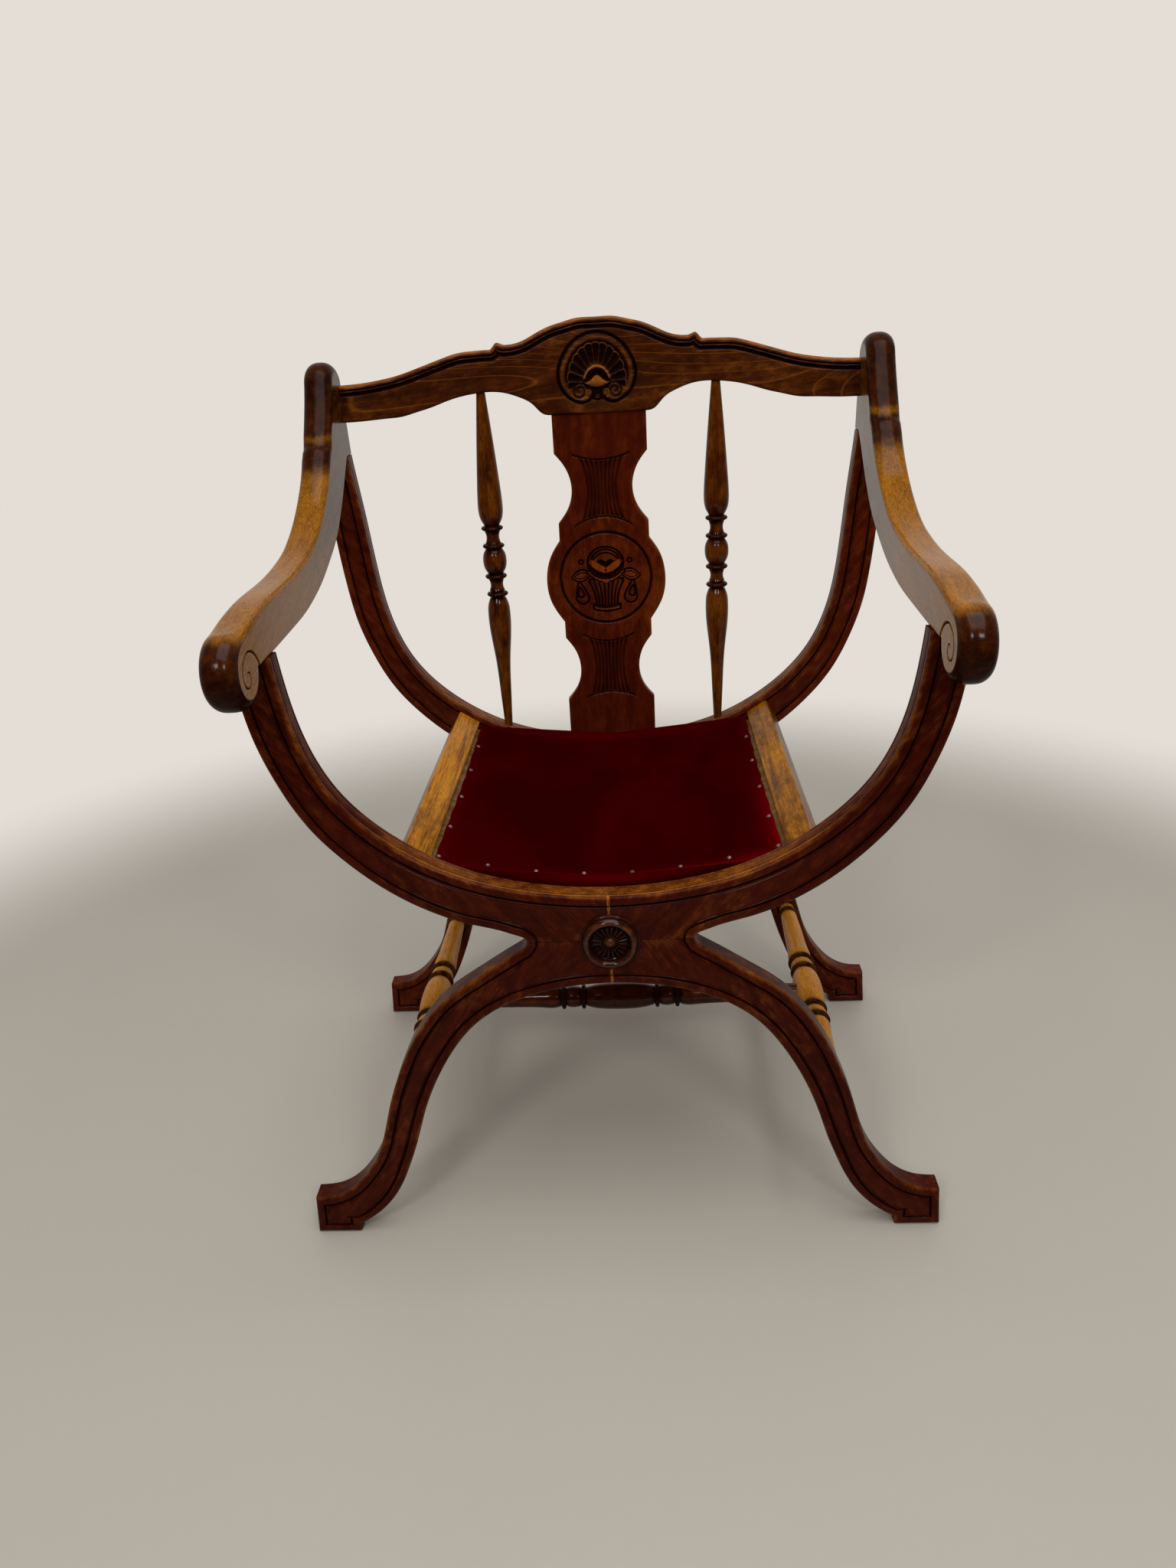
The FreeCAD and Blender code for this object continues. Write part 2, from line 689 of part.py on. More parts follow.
def socket_pieces(pieces, pegs):
    """Cut each fitted piece out of the pieces that hold it."""
    holders = {"front_rosette": ("front_upper", "front_lower"),
               "back_splat": ("rear_upper", "crest_rail"),
               "spindle": ("rear_upper", "crest_rail"),
               "side_stretcher": ("front_lower", "rear_lower"),
               "cross_stretcher": ("side_stretcher",)}
    for fitted, keepers in holders.items():
        tools = [shape for name, shape in pieces.items() if fitted in name]
        for name in pieces:
            if any(keeper in name for keeper in keepers):
                pieces[name] = cut_all(pieces[name], tools)
    for group in pegs.values():
        for name in pieces:
            near = [peg for peg in group if peg.BoundBox.intersect(pieces[name].BoundBox)]
            if near and name not in ("seat_pad", "seat_panel"):
                pieces[name] = cut_all(pieces[name], near)
    for name, group in pegs.items():
        pieces[name] = Part.makeCompound(group)


def main():
    """Build the chair and write one file per piece."""
    os.makedirs("parts", exist_ok=True)
    pieces, pegs = build_chair()
    socket_pieces(pieces, pegs)
    for name, shape in pieces.items():
        shape.exportStep("parts/" + name + ".step")
        print(name, len(shape.Solids), round(shape.Volume), shape.isValid())


main()
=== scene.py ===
"""Looks of a savonarola armchair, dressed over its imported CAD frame.

Lengths inside the classes are millimetres in the CAD's own frame: X across the chair, -Y the front,
Z up, the floor at zero. They become metres when a mesh is written.
"""

import logging
import math
from collections.abc import Callable
from dataclasses import dataclass, field
from enum import Enum

import bmesh
import bpy
import numpy as np
from mathutils import Matrix, Vector


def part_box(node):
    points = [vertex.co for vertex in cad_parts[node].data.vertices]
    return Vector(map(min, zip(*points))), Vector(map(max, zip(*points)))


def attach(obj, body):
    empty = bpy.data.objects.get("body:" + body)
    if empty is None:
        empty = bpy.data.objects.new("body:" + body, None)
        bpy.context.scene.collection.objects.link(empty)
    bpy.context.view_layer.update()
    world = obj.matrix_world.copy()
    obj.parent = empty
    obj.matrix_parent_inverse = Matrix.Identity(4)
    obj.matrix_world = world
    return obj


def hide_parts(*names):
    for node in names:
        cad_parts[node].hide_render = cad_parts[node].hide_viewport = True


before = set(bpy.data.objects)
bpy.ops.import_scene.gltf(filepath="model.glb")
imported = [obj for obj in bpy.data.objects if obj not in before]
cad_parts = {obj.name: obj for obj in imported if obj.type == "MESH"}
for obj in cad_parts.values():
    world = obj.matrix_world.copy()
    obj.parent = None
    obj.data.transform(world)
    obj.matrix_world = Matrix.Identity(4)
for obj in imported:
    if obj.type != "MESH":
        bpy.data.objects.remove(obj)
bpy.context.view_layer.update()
MM = 0.001
FAR_OFF = 1e3
LOG = logging.getLogger("armchair")
Array = np.ndarray
Material = bpy.types.Material
Piece = bpy.types.Object
Socket = bpy.types.NodeSocket


class Side(Enum):
    """The two hands of the chair, as the sign of X."""

    RIGHT = 1
    LEFT = -1

    @property
    def word(self) -> str:
        """The word that the CAD nodes use for this side."""
        return self.name.lower()


class Grain(Enum):
    """Where a wood reads the run of its grain from."""

    CARRIED = "carried"
    ALONG_X = "x"
    ALONG_Z = "z"


# Number work shared by the pieces
def hollow(place: Array, centre: float, half: float, depth: float) -> Array:
    """Depth of a round-bottomed groove: half a cosine wave about its centre, nothing outside.

    Args:
        place: distance of each point from the line that the groove keeps beside.
        centre: distance of the groove's own middle from that line.
        half: half the groove's width.
        depth: depth at its middle.

    Returns:
        The depth at every point.
    """
    reach = np.clip((place - centre) / half, -1.0, 1.0)
    return depth * (0.5 + 0.5 * np.cos(math.pi * reach))


def ease(place: Array, low: float, high: float) -> Array:
    """Rises smoothly from 0 at low to 1 at high: three times the square less twice the cube."""
    share = np.clip((place - low) / (high - low), 0.0, 1.0)
    return share * share * (3.0 - 2.0 * share)


def unit(ways: Array) -> Array:
    """Directions brought to a length of one."""
    ways = np.asarray(ways, float)
    return ways / np.maximum(np.linalg.norm(ways, axis=-1, keepdims=True), 1e-9)


def round_over(place: Array, radius: float) -> Array:
    """How far a quarter-round edge drops: its radius less the height of a circle."""
    inside = np.clip(radius - place, 0.0, radius)
    return radius - np.sqrt(radius * radius - inside * inside)


def beside(*grids: Array) -> Array:
    """Grids with the same rows, joined side by side."""
    return np.concatenate(grids, 1)


def spline(points: Array, step: float, start: tuple | None = None,
           end: tuple | None = None) -> Array:
    """A smooth line through points: a cubic in each span, with the bends equal where spans meet.

    The bends at the points come from the usual tridiagonal system over the chord lengths. An end
    has no bend, or follows the direction given for it.

    Args:
        points: the points to pass through, one per row.
        step: wanted spacing of the points that come back.
        start: direction of travel at the first point, if it is set.
        end: direction of travel at the last point, if it is set.

    Returns:
        Points along the line, one per row.
    """
    spots = np.asarray(points, float)
    gap = np.linalg.norm(np.diff(spots, axis=0), axis=1)
    knots = np.concatenate([[0.0], np.cumsum(gap)])
    slope = np.diff(spots, axis=0) / gap[:, None]
    system = np.diag(np.concatenate([[1.0], 2.0 * (gap[:-1] + gap[1:]), [1.0]]))
    inner = np.arange(1, len(spots) - 1)
    system[inner, inner - 1] = gap[:-1]
    system[inner, inner + 1] = gap[1:]
    load = np.zeros_like(spots)
    load[1:-1] = 6.0 * np.diff(slope, axis=0)
    if start is not None:
        system[0, :2] = (2.0 * gap[0], gap[0])
        load[0] = 6.0 * (slope[0] - unit(start))
    if end is not None:
        system[-1, -2:] = (gap[-1], 2.0 * gap[-1])
        load[-1] = 6.0 * (unit(end) - slope[-1])
    bend = np.linalg.solve(system, load)
    place = np.linspace(0.0, knots[-1], int(knots[-1] / step) + 2)
    span = np.clip(np.searchsorted(knots, place, side="right") - 1, 0, len(gap) - 1)
    after = ((place - knots[span]) / gap[span])[:, None]
    before = 1.0 - after
    curl = (before ** 3 - before) * bend[span] + (after ** 3 - after) * bend[span + 1]
    return before * spots[span] + after * spots[span + 1] + curl * gap[span][:, None] ** 2 / 6.0


def arc(centre: tuple, radius: float, first: float, last: float, step: float) -> Array:
    """Points round a circle, its angles in degrees from the first axis towards the second.

    Args:
        centre: the circle's middle.
        radius: its radius.
        first: the first angle.
        last: the last angle.
        step: wanted spacing of the points.

    Returns:
        The points, one per row.
    """
    count = int(abs(math.radians(last - first)) * radius / step) + 2
    turn = np.radians(np.linspace(first, last, count))
    return np.stack([centre[0] + radius * np.cos(turn), centre[1] + radius * np.sin(turn)], -1)


class Line:
    """A run of straight bits in a plane, measured by its length."""

    def __init__(self, points: Array) -> None:
        """Keeps the points that differ from their neighbours, and the length up to each.

        Args:
            points: the line's corners, one per row.
        """
        spots = np.asarray(points, float)
        fresh = np.linalg.norm(np.diff(spots, axis=0), axis=1) > 1e-6
        self.points = spots[np.concatenate([[True], fresh])]
        steps = np.linalg.norm(np.diff(self.points, axis=0), axis=1)
        self.reach = np.concatenate([[0.0], np.cumsum(steps)])

    @property
    def length(self) -> float:
        """The whole length."""
        return float(self.reach[-1])

    def at(self, place: Array) -> Array:
        """The points at lengths from the start, read off in straight proportion."""
        return np.stack([np.interp(place, self.reach, self.points[:, axis]) for axis in (0, 1)], -1)

    def nearest(self, spot: tuple) -> float:
        """The length at which the line comes nearest to a spot."""
        return float(self.reach[np.argmin(np.linalg.norm(self.points - np.asarray(spot), axis=1))])

    def offset(self, spots: Array, open_start: bool = False, open_end: bool = False) -> Array:
        """Signed distance of spots from the line, positive on the left of its travel.

        Every spot is dropped square onto every bit, kept within the bit's ends, and the shortest
        of those distances counts. An open end runs on straight for ever.

        Args:
            spots: an array whose last axis holds the two coordinates.
            open_start: whether the first bit runs on backwards.
            open_end: whether the last bit runs on forwards.

        Returns:
            The distances, in the shape of spots without its last axis.
        """
        flat = spots.reshape(-1, 2)
        along = np.diff(self.points, axis=0)
        low, high = np.zeros(len(along)), np.ones(len(along))
        low[0] = -FAR_OFF if open_start else 0.0
        high[-1] = FAR_OFF if open_end else 1.0
        away = flat[:, None, :] - self.points[None, :-1, :]
        square = np.einsum("ij,ij->i", along, along)
        share = np.clip(np.einsum("nij,ij->ni", away, along) / square, low, high)
        miss = away - share[..., None] * along
        gap = np.einsum("nij,nij->ni", miss, miss)
        best = np.argmin(gap, axis=1)
        rows = np.arange(len(flat))
        turn = along[best, 0] * away[rows, best, 1] - along[best, 1] * away[rows, best, 0]
        apart = np.sqrt(gap[rows, best]) * np.where(turn < 0.0, -1.0, 1.0)
        return apart.reshape(spots.shape[:-1])


def pair_up(inner: Line, outer: Line, marks: list, spacing: list) -> tuple[Array, Array]:
    """Matching stations on two lines: between two marks both lines are cut into equal shares.

    Args:
        inner: the first line.
        outer: the second line.
        marks: pairs of lengths, one on each line, that face each other.
        spacing: wanted distance between stations in each stretch between marks.

    Returns:
        The stations on the inner line and on the outer line.
    """
    stops = []
    for (first, second), gap in zip(zip(marks[:-1], marks[1:]), spacing):
        longest = max(abs(second[0] - first[0]), abs(second[1] - first[1]))
        share = np.linspace(0.0, 1.0, max(2, int(longest / gap) + 1))[:, None]
        stops.append(np.asarray(first) * (1.0 - share) + np.asarray(second) * share)
    run = np.concatenate([stops[0]] + [stop[1:] for stop in stops[1:]])
    return inner.at(run[:, 0]), outer.at(run[:, 1])


# Meshes
@dataclass
class Skin:
    """Grids of points gathered into the surface of one piece, with what its finish reads.

    Each point carries a grain place, a tone from 0, stained dark, to 1, pale, and a darkening
    from 0 to 1. The pale end is wear in some places and painted light in others; the darkening
    is painted shade in hollows and under overhangs, with old dark polish.
    """

    points: list = field(default_factory=list)
    faces: list = field(default_factory=list)
    tones: list = field(default_factory=list)
    shades_and_soils: list = field(default_factory=list)
    count: int = 0

    @classmethod
    def closed(cls, rings: Array, tone: Array | float, shade_and_soil: Array | float) -> "Skin":
        """A skin of closed rings that is capped at both ends.

        Args:
            rings: the rings, one per row.
            tone: tone of the points.
            shade_and_soil: soil of the points.

        Returns:
            The skin.
        """
        skin = cls()
        skin.sheet(rings, tone, shade_and_soil, wrap=True, capped=True)
        return skin

    @classmethod
    def carved(cls, face: Array, rear: Array, tone: Array, shade_and_soil: Array) -> "Skin":
        """A carved face closed with its plain, unmarked back."""
        return cls.closed(beside(face, rear), beside(tone, np.full(rear.shape[:2], 0.15)),
                          beside(shade_and_soil, np.zeros(rear.shape[:2])))

    def take(self, spots: Array, tone: Array | float, shade_and_soil: Array | float) -> int:
        """Adds points and returns the index of the first.

        Args:
            spots: the points.
            tone: their tone.
            shade_and_soil: their soil.

        Returns:
            The index of the first.
        """
        flat = spots.reshape(-1, 3)
        self.points.append(flat)
        self.tones.append(np.broadcast_to(tone, spots.shape[:-1]).reshape(-1))
        self.shades_and_soils.append(np.broadcast_to(shade_and_soil, spots.shape[:-1]).reshape(-1))
        first = self.count
        self.count += len(flat)
        return first

    def sheet(self, grid: Array, tone: Array | float = 0.0,
              shade_and_soil: Array | float = 0.0, wrap: bool = False, capped: bool = False) -> None:
        """Adds a grid of points as quads, joined round its second axis if it wraps.

        Args:
            grid: points in rows and columns.
            tone: tone of the points.
            shade_and_soil: soil of the points.
            wrap: whether the last column joins the first.
            capped: whether the first and last rows are closed by a fan to their middle.
        """
        rows, columns = grid.shape[:2]
        first = self.take(grid, tone, shade_and_soil)
        index = first + np.arange(rows * columns).reshape(rows, columns)
        right = np.roll(index, -1, axis=1) if wrap else index[:, 1:]
        left = index if wrap else index[:, :-1]
        quads = np.stack([left[:-1], right[:-1], right[1:], left[1:]], -1).reshape(-1, 4)
        self.faces += quads.tolist()
        if capped:
            shade = np.broadcast_to(tone, grid.shape[:-1])
            for row in (0, rows - 1):
                heart = self.take(grid[row].mean(0)[None, :], float(shade[row].mean()), 0.0)
                fan = np.stack([index[row], np.roll(index[row], -1)], -1)
                self.faces += [[heart, one, two] for one, two in fan.tolist()]

    def finish(self, name: str, look: "Look", slot: str, stands_for: list,
               side: Side = Side.RIGHT, grain: "Board | None" = None,
               crease: float = 32.0) -> Piece:
        """Writes the mesh, mirrors it for the left side, and tells the frame what it is.

        Args:
            name: the piece's name.
            look: the finish that it wears.
            slot: a material slot's name; it is not used.
            stands_for: the CAD nodes that it replaces.
            side: the hand of the chair that it belongs to.
            grain: how its grain runs, if the points don't say it themselves.
            crease: edges sharper than this many degrees stay sharp.

        Returns:
            The finished object.
        """
        spots = np.concatenate(self.points)
        run = (grain or Board()).place(spots)
        spots = spots * np.array([side.value, 1.0, 1.0]) * MM
        mesh = bpy.data.meshes.new(name)
        mesh.from_pydata(spots.tolist(), [], self.faces)
        for label, values in (("tone", self.tones), ("shade_and_soil", self.shades_and_soils)):
            layer = mesh.attributes.new(label, "FLOAT", "POINT")
            layer.data.foreach_set("value", np.concatenate(values).astype(np.float32))
        layer = mesh.attributes.new("grain", "FLOAT_VECTOR", "POINT")
        layer.data.foreach_set("vector", (run * MM).astype(np.float32).reshape(-1))
        tidy_faces(mesh, crease)
        mesh.materials.append(look.material())
        piece = bpy.data.objects.new(name, mesh)
        bpy.context.scene.collection.objects.link(piece)
        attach(piece, "root")
        if stands_for:
            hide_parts(*stands_for)
        LOG.info("%s: %d points, %d faces", name, len(spots), len(self.faces))
        return piece


def tidy_faces(mesh: bpy.types.Mesh, crease: float) -> None:
    """Turns every face outwards and shades all but the sharp edges smooth.

    Args:
        mesh: the mesh.
        crease: edges sharper than this many degrees stay sharp.
    """
    shell = bmesh.new()
    shell.from_mesh(mesh)
    bmesh.ops.recalc_face_normals(shell, faces=shell.faces)
    shell.to_mesh(mesh)
    shell.free()
    mesh.shade_smooth()
    mesh.set_sharp_from_angle(angle=math.radians(crease))
    mesh.update()


@dataclass(frozen=True)
class Board:
    """The plank a piece was sawn from: which way its grain runs, and where it was cut."""

    along: tuple = (1.0, 0.0, 0.0)
    across: tuple = (0.0, 0.0, 1.0)
    cut_at: tuple = (0.0, 0.0, 0.0)

    def place(self, spots: Array) -> Array:
        """Grain coordinates: how far along, how far across and how deep each point lies.

        Args:
            spots: points in the CAD's frame.

        Returns:
            Their grain coordinates.
        """
        first = unit(self.along)
        second = unit(np.subtract(self.across, first * (first @ self.across)))
        axes = np.stack([first, second, np.cross(first, second)], -1)
        return spots @ axes + np.asarray(self.cut_at)


class Relief:
    """Carving on a flat face: how deep each point lies, how dark its painted shade and old polish
    lie, and how rubbed.

    Forms are laid one over another, like paper shapes, by distances that are positive inside.
    """

    def __init__(self, shape: tuple) -> None:
        """Starts with an untouched face."""
        self.deep = np.zeros(shape)
        self.shade_and_soil = np.zeros(shape)
        self.tone = np.zeros(shape)

    def cut(self, line: Array, half: float, deep: float, where: Array | float = 1.0) -> None:
        """Runs a gouge along the zero of a distance.

        Args:
            line: distance of each point from the gouge's middle.
            half: half the gouge's width.
            deep: its depth.
            where: how much of it is cut at each point.
        """
        self.deep = np.maximum(self.deep, hollow(line, 0.0, half, deep) * where)
        # Painted shade and old polish along the gouge, a little wider than the cut.
        groove_shade_and_soil = np.minimum(hollow(line, 0.0, half * 1.2, 1.9), 0.97)
        self.shade_and_soil = np.maximum(self.shade_and_soil, groove_shade_and_soil * where)

    def sink(self, inside: Array, deep: float, soft: float, shade_and_soil: float = 0.9) -> None:
        """Lowers the ground inside a shape.

        Args:
            inside: distance in from the shape's rim.
            deep: how far the ground goes down.
            soft: width of the slope.
            shade_and_soil: how dark the ground is painted, as shade and old polish.
        """
        share = ease(inside, 0.0, soft)
        self.deep = np.maximum(self.deep, deep * share)
        self.shade_and_soil = np.maximum(self.shade_and_soil, shade_and_soil * share)

    def lay(self, inside: Array, deep: Array | float, high: float, soft: float,
            tone: Array | float = 0.0, shade_and_soil: Array | float = 0.0) -> None:
        """Lays a form over what is there: its rim lies deep, and its middle rises by high.

        Args:
            inside: distance in from the form's rim.
            deep: depth of the rim.
            high: how far the middle rises.
            soft: how far in it has risen by that much.
            tone: how rubbed the form is.
            shade_and_soil: how dark it is painted, as shade and old polish.
        """
        share = ease(inside, -0.3, 0.5)
        top = deep - high * np.sqrt(np.clip(inside / soft, 0.0, 1.0))
        self.deep = self.deep * (1.0 - share) + top * share
        self.shade_and_soil = self.shade_and_soil * (1.0 - share) + shade_and_soil * share
        self.tone = self.tone * (1.0 - share) + tone * share


# Finishes
def tint(red: int, green: int, blue: int) -> tuple:
    """A colour as read off a photograph, turned into the linear values that Blender wants.

    Args:
        red: red, from 0 to 255.
        green: green.
        blue: blue.

    Returns:
        The linear colour and its alpha.
    """
    shares = np.array([red, green, blue]) / 255.0
    linear = np.where(shares <= 0.04045, shares / 12.92, ((shares + 0.055) / 1.055) ** 2.4)
    return (*(float(value) for value in linear), 1.0)


class NodeBoard:
    """Adds and joins the nodes of one material, or of the world."""

    def __init__(self, holder: bpy.types.ID) -> None:
        """Empties the node tree of a new material or world.

        Args:
            holder: the material or world.
        """
        holder.use_nodes = True
        self.holder = holder
        self.tree = holder.node_tree
        self.tree.nodes.clear()

    def add(self, kind: str, **settings: object) -> bpy.types.Node:
        """A new node with its settings.

        Args:
            kind: the node's type.
            settings: its own settings.

        Returns:
            The node.
        """
        node = self.tree.nodes.new(kind)
        for key, value in settings.items():
            setattr(node, key, value)
        return node

    def feed(self, socket: Socket, source: object) -> None:
        """Joins a socket to another, or sets its own value.

        Args:
            socket: the input.
            source: what feeds it.
        """
        if isinstance(source, Socket):
            self.tree.links.new(source, socket)
        else:
            socket.default_value = source

    def make(self, kind: str, sockets: dict, output: int | str = 0, **settings: object) -> Socket:
        """A new node whose named or numbered sockets are joined to others, or set once.

        Args:
            kind: the node's type.
            sockets: what goes into each input.
            output: the output that is handed on.
            settings: the node's own settings.

        Returns:
            The output.
        """
        node = self.add(kind, **settings)
        for label, source in sockets.items():
            self.feed(node.inputs[label], source)
        return node.outputs[output]

    def carried(self, label: str, output: str = "Fac") -> Socket:
        """What the mesh carries under a label."""
        return self.make("ShaderNodeAttribute", {}, output, attribute_name=label)

    def place(self, output: str = "Object") -> Socket:
        """Where in the object, or in the world's directions, a point lies."""
        return self.make("ShaderNodeTexCoord", {}, output)

    def stretch(self, source: object, scale: tuple, turn: tuple = (0.0, 0.0, 0.0)) -> Socket:
        """Coordinates turned and stretched, so that a pattern comes out long or short."""
        return self.make("ShaderNodeMapping", {"Vector": source, "Rotation": turn, "Scale": scale})

    def noise(self, source: object, scale: float, detail: float = 3.0, rough: float = 0.55,
              twist: float = 0.0) -> Socket:
        """A soft random pattern."""
        return self.make("ShaderNodeTexNoise", {
            "Vector": source, "Scale": scale, "Detail": detail, "Roughness": rough,
            "Distortion": twist}, "Fac")

    def sum_up(self, kind: str, first: object, second: object = 0.0, third: object = 0.0) -> Socket:
        """One step of arithmetic."""
        return self.make("ShaderNodeMath", {0: first, 1: second, 2: third}, operation=kind)

    def weigh(self, first: object, share: float, second: object, rest: float) -> Socket:
        """Two values, each times its weight, added."""
        return self.sum_up("MULTIPLY_ADD", first, share, self.sum_up("MULTIPLY", second, rest))

    def window(self, source: object, low: float, high: float, floor: float = 0.0,
               top: float = 1.0, kind: str = "SMOOTHSTEP") -> Socket:
        """Spreads the values from low to high over floor to top, and holds them there."""
        return self.make("ShaderNodeMapRange", {
            "Value": source, "From Min": low, "From Max": high, "To Min": floor, "To Max": top},
            "Result", interpolation_type=kind)

    def blend(self, share: object, first: object, second: object) -> Socket:
        """The first colour turning into the second as share goes from 0 to 1."""
        return self.make("ShaderNodeMix", {0: share, 6: first, 7: second}, 2, data_type="RGBA")

    def bump(self, height: object, strength: float, depth: float) -> Socket:
        """A normal tilted by a height pattern, its depth in metres."""
        return self.make("ShaderNodeBump", {"Strength": strength, "Distance": depth,
                                            "Height": height}, "Normal")

    def either(self, share: object, first: object, second: object) -> Socket:
        """The first shader turning into the second as share goes from 0 to 1."""
        return self.make("ShaderNodeMixShader", {0: share, 1: first, 2: second})

    def close(self, kind: str, shader: Socket) -> None:
        """Joins the last shader to the output."""
        self.feed(self.add(kind).inputs["Surface"], shader)

    def surface(self, sockets: dict) -> Material:
        """Ends a material with one principled shader."""
        self.close("ShaderNodeOutputMaterial", self.make("ShaderNodeBsdfPrincipled", sockets))
        return self.holder


class Look:
    """A finish: it makes its material once and hands the same one out after that."""

    def material(self) -> Material:
        """The finished material."""
        ready = bpy.data.materials.get(self.name)
        return ready or self.mix(NodeBoard(bpy.data.materials.new(self.name)))


# Noises in a wood: how its grain coordinates are stretched, then detail, roughness and twist
WOOD_NOISES = {"streak": ((4.0, 70.0, 70.0), 4.0, 0.6, 0.5),
               "fibre": ((22.0, 640.0, 640.0), 3.0, 0.62),
               "mottle": ((60.0, 120.0, 120.0), 4.0, 0.62),
               "fleck": ((170.0, 900.0, 900.0), 1.0, 0.5),
               "pores": ((120.0, 1700.0, 1700.0), 1.0, 0.5)}


@dataclass(frozen=True)
class StainedWood(Look):
    """Stained and polished timber: long grain, short pores, rubbed places, and hollows darkened by
    painted shade and old polish.
    """

    name: str
    vein: tuple
    body: tuple
    flame: tuple
    rubbed: tuple
    # Colour of the darkening: painted shade and old polish in hollows.
    shade_and_soil: tuple = (14, 4, 2)
    run: Grain = Grain.CARRIED
    roughness: float = 0.30
    polish: float = 0.30
    figure: float = 0.8
    grime: float = 0.55
    flecks: float = 0.35
    gloss: float = 0.05
    rings: float = 0.0

    def grain_source(self, board: NodeBoard) -> Socket:
        """Grain coordinates, carried by the mesh or turned out of the object's own.

        Args:
            board: where the nodes go.

        Returns:
            The coordinates.
        """
        if self.run is Grain.CARRIED:
            return board.carried("grain", "Vector")
        turn = math.pi / 2 if self.run is Grain.ALONG_Z else 0.0
        return board.stretch(board.place(), (1.0, 1.0, 1.0), (0.0, turn, 0.0))

    def mix(self, board: NodeBoard) -> Material:
        """Builds the nodes.

        Broad streaks and fine fibres are noises drawn out along the grain. They choose between
        vein, body and flame colours, and short flecks and pores are cut out of finer noises. The
        mesh's tone lets the rubbed colour through in patches: wear in some places, painted light
        in others. Its darkening paints shade and old polish into hollows and dulls the gloss there.

        Args:
            board: where the nodes go.

        Returns:
            The material.
        """
        place = self.grain_source(board)
        streak, fibre, mottle, fleck, pores = (
            board.noise(board.stretch(place, scale), 1.0, *rest)
            for scale, *rest in WOOD_NOISES.values())
        cloud = board.noise(place, 11.0, 2.0, 0.5)
        body = board.window(board.weigh(mottle, 0.4, streak, 0.6), 0.30, 0.66)
        flame = board.window(board.weigh(fibre, 0.5, mottle, 0.5), 0.42, 0.72, 0.0, self.figure)
        colour = board.blend(body, tint(*self.vein), tint(*self.body))
        colour = board.blend(board.sum_up("MULTIPLY", flame, body), colour, tint(*self.flame))
        if self.rings:
            swirl = board.noise(board.stretch(place, (3.0, 12.0, 12.0), (0.0, 0.3, 0.2)), 1.0, 0.0,
                                0.25)
            line = board.sum_up("ABSOLUTE", board.sum_up(
                "SINE", board.sum_up("MULTIPLY", swirl, 58.0)))
            colour = board.blend(board.window(line, 0.0, 0.24, self.rings, 0.0), colour,
                                 tint(*self.rubbed))
        carried = self.run is Grain.CARRIED
        tone = board.carried("tone") if carried else 0.0
        patch = board.sum_up("MULTIPLY_ADD", board.sum_up("ADD", mottle, cloud), 0.7, -0.7)
        rubbed = board.window(board.sum_up("ADD", tone, patch), 0.06, 0.94)
        grime = board.window(board.weigh(fibre, 0.55, streak, 0.45), 0.38, 0.60, self.grime, 0.0)
        colour = board.blend(rubbed, colour, board.blend(grime, tint(*self.rubbed), colour))
        marks = board.sum_up("MAXIMUM", board.window(pores, 0.58, 0.70, 0.0, 0.5),
                             board.window(fleck, 0.56, 0.68, 0.0, self.flecks))
        colour = board.blend(marks, colour, tint(*self.vein))
        # The carried darkening paints shade and old polish: it darkens the colour and takes away
        # gloss and coat.
        free_of_shade_and_soil = 1.0
        if carried:
            shade_and_soil = board.carried("shade_and_soil")
            colour = board.blend(shade_and_soil, colour, tint(*self.shade_and_soil))
            free_of_shade_and_soil = board.sum_up("SUBTRACT", 1.0, shade_and_soil)
        rough = board.sum_up("MULTIPLY_ADD", board.sum_up("ADD", cloud, fibre), 0.20,
                             self.roughness - 0.20)
        height = board.weigh(pores, -0.8, fibre, 0.5)
        return board.surface({
            "Base Color": colour, "Roughness": rough,
            "Specular IOR Level": board.sum_up("MULTIPLY", free_of_shade_and_soil, self.gloss),
            "Coat Weight": board.sum_up("MULTIPLY", free_of_shade_and_soil, self.polish),
            "Coat Roughness": 0.10, "Coat IOR": 1.45,
            "Normal": board.bump(height, 0.30, 0.0002)})


@dataclass(frozen=True)
class Velvet(Look):
    """Cotton velvet: a dark pile that brightens where it is seen or lit along the surface."""

    name: str = "burgundy_velvet"
    pile: tuple = (46, 0, 1)
    shade: tuple = (33, 0, 0)
    # The bright red of the rim's painted sheen and crushed pile, and of the nap's specks.
    worn: tuple = (124, 0, 8)

    def mix(self, board: NodeBoard) -> Material:
        """Builds the nodes: brushed patches, a brighter rim of painted sheen with crushed pile, and
        a fine nap.

        Args:
            board: where the nodes go.

        Returns:
            The material.
        """
        place = board.place()
        brushed = board.noise(board.stretch(place, (9.0, 4.0, 9.0)), 1.0, 3.0, 0.55, 0.8)
        nap = board.noise(place, 1400.0, 2.0, 0.6)
        rib = board.noise(board.stretch(place, (620.0, 180.0, 620.0)), 1.0, 2.0, 0.5)
        colour = board.blend(board.window(brushed, 0.36, 0.66), tint(*self.shade),
                             tint(*self.pile))
        # The carried tone paints sheen on the rim, with crushed pile.
        colour = board.blend(board.carried("tone"), colour, tint(*self.worn))
        colour = board.blend(board.window(nap, 0.50, 0.75, 0.0, 0.15), colour, tint(*self.worn))
        height = board.weigh(nap, 1.0, rib, 0.5)
        return board.surface({
            "Base Color": colour, "Normal": board.bump(height, 0.30, 0.0004), "Roughness": 0.9,
            "Specular IOR Level": 0.0, "Sheen Weight": 0.08, "Sheen Roughness": 0.32,
            "Sheen Tint": (0.80, 0.01, 0.02, 1.0)})


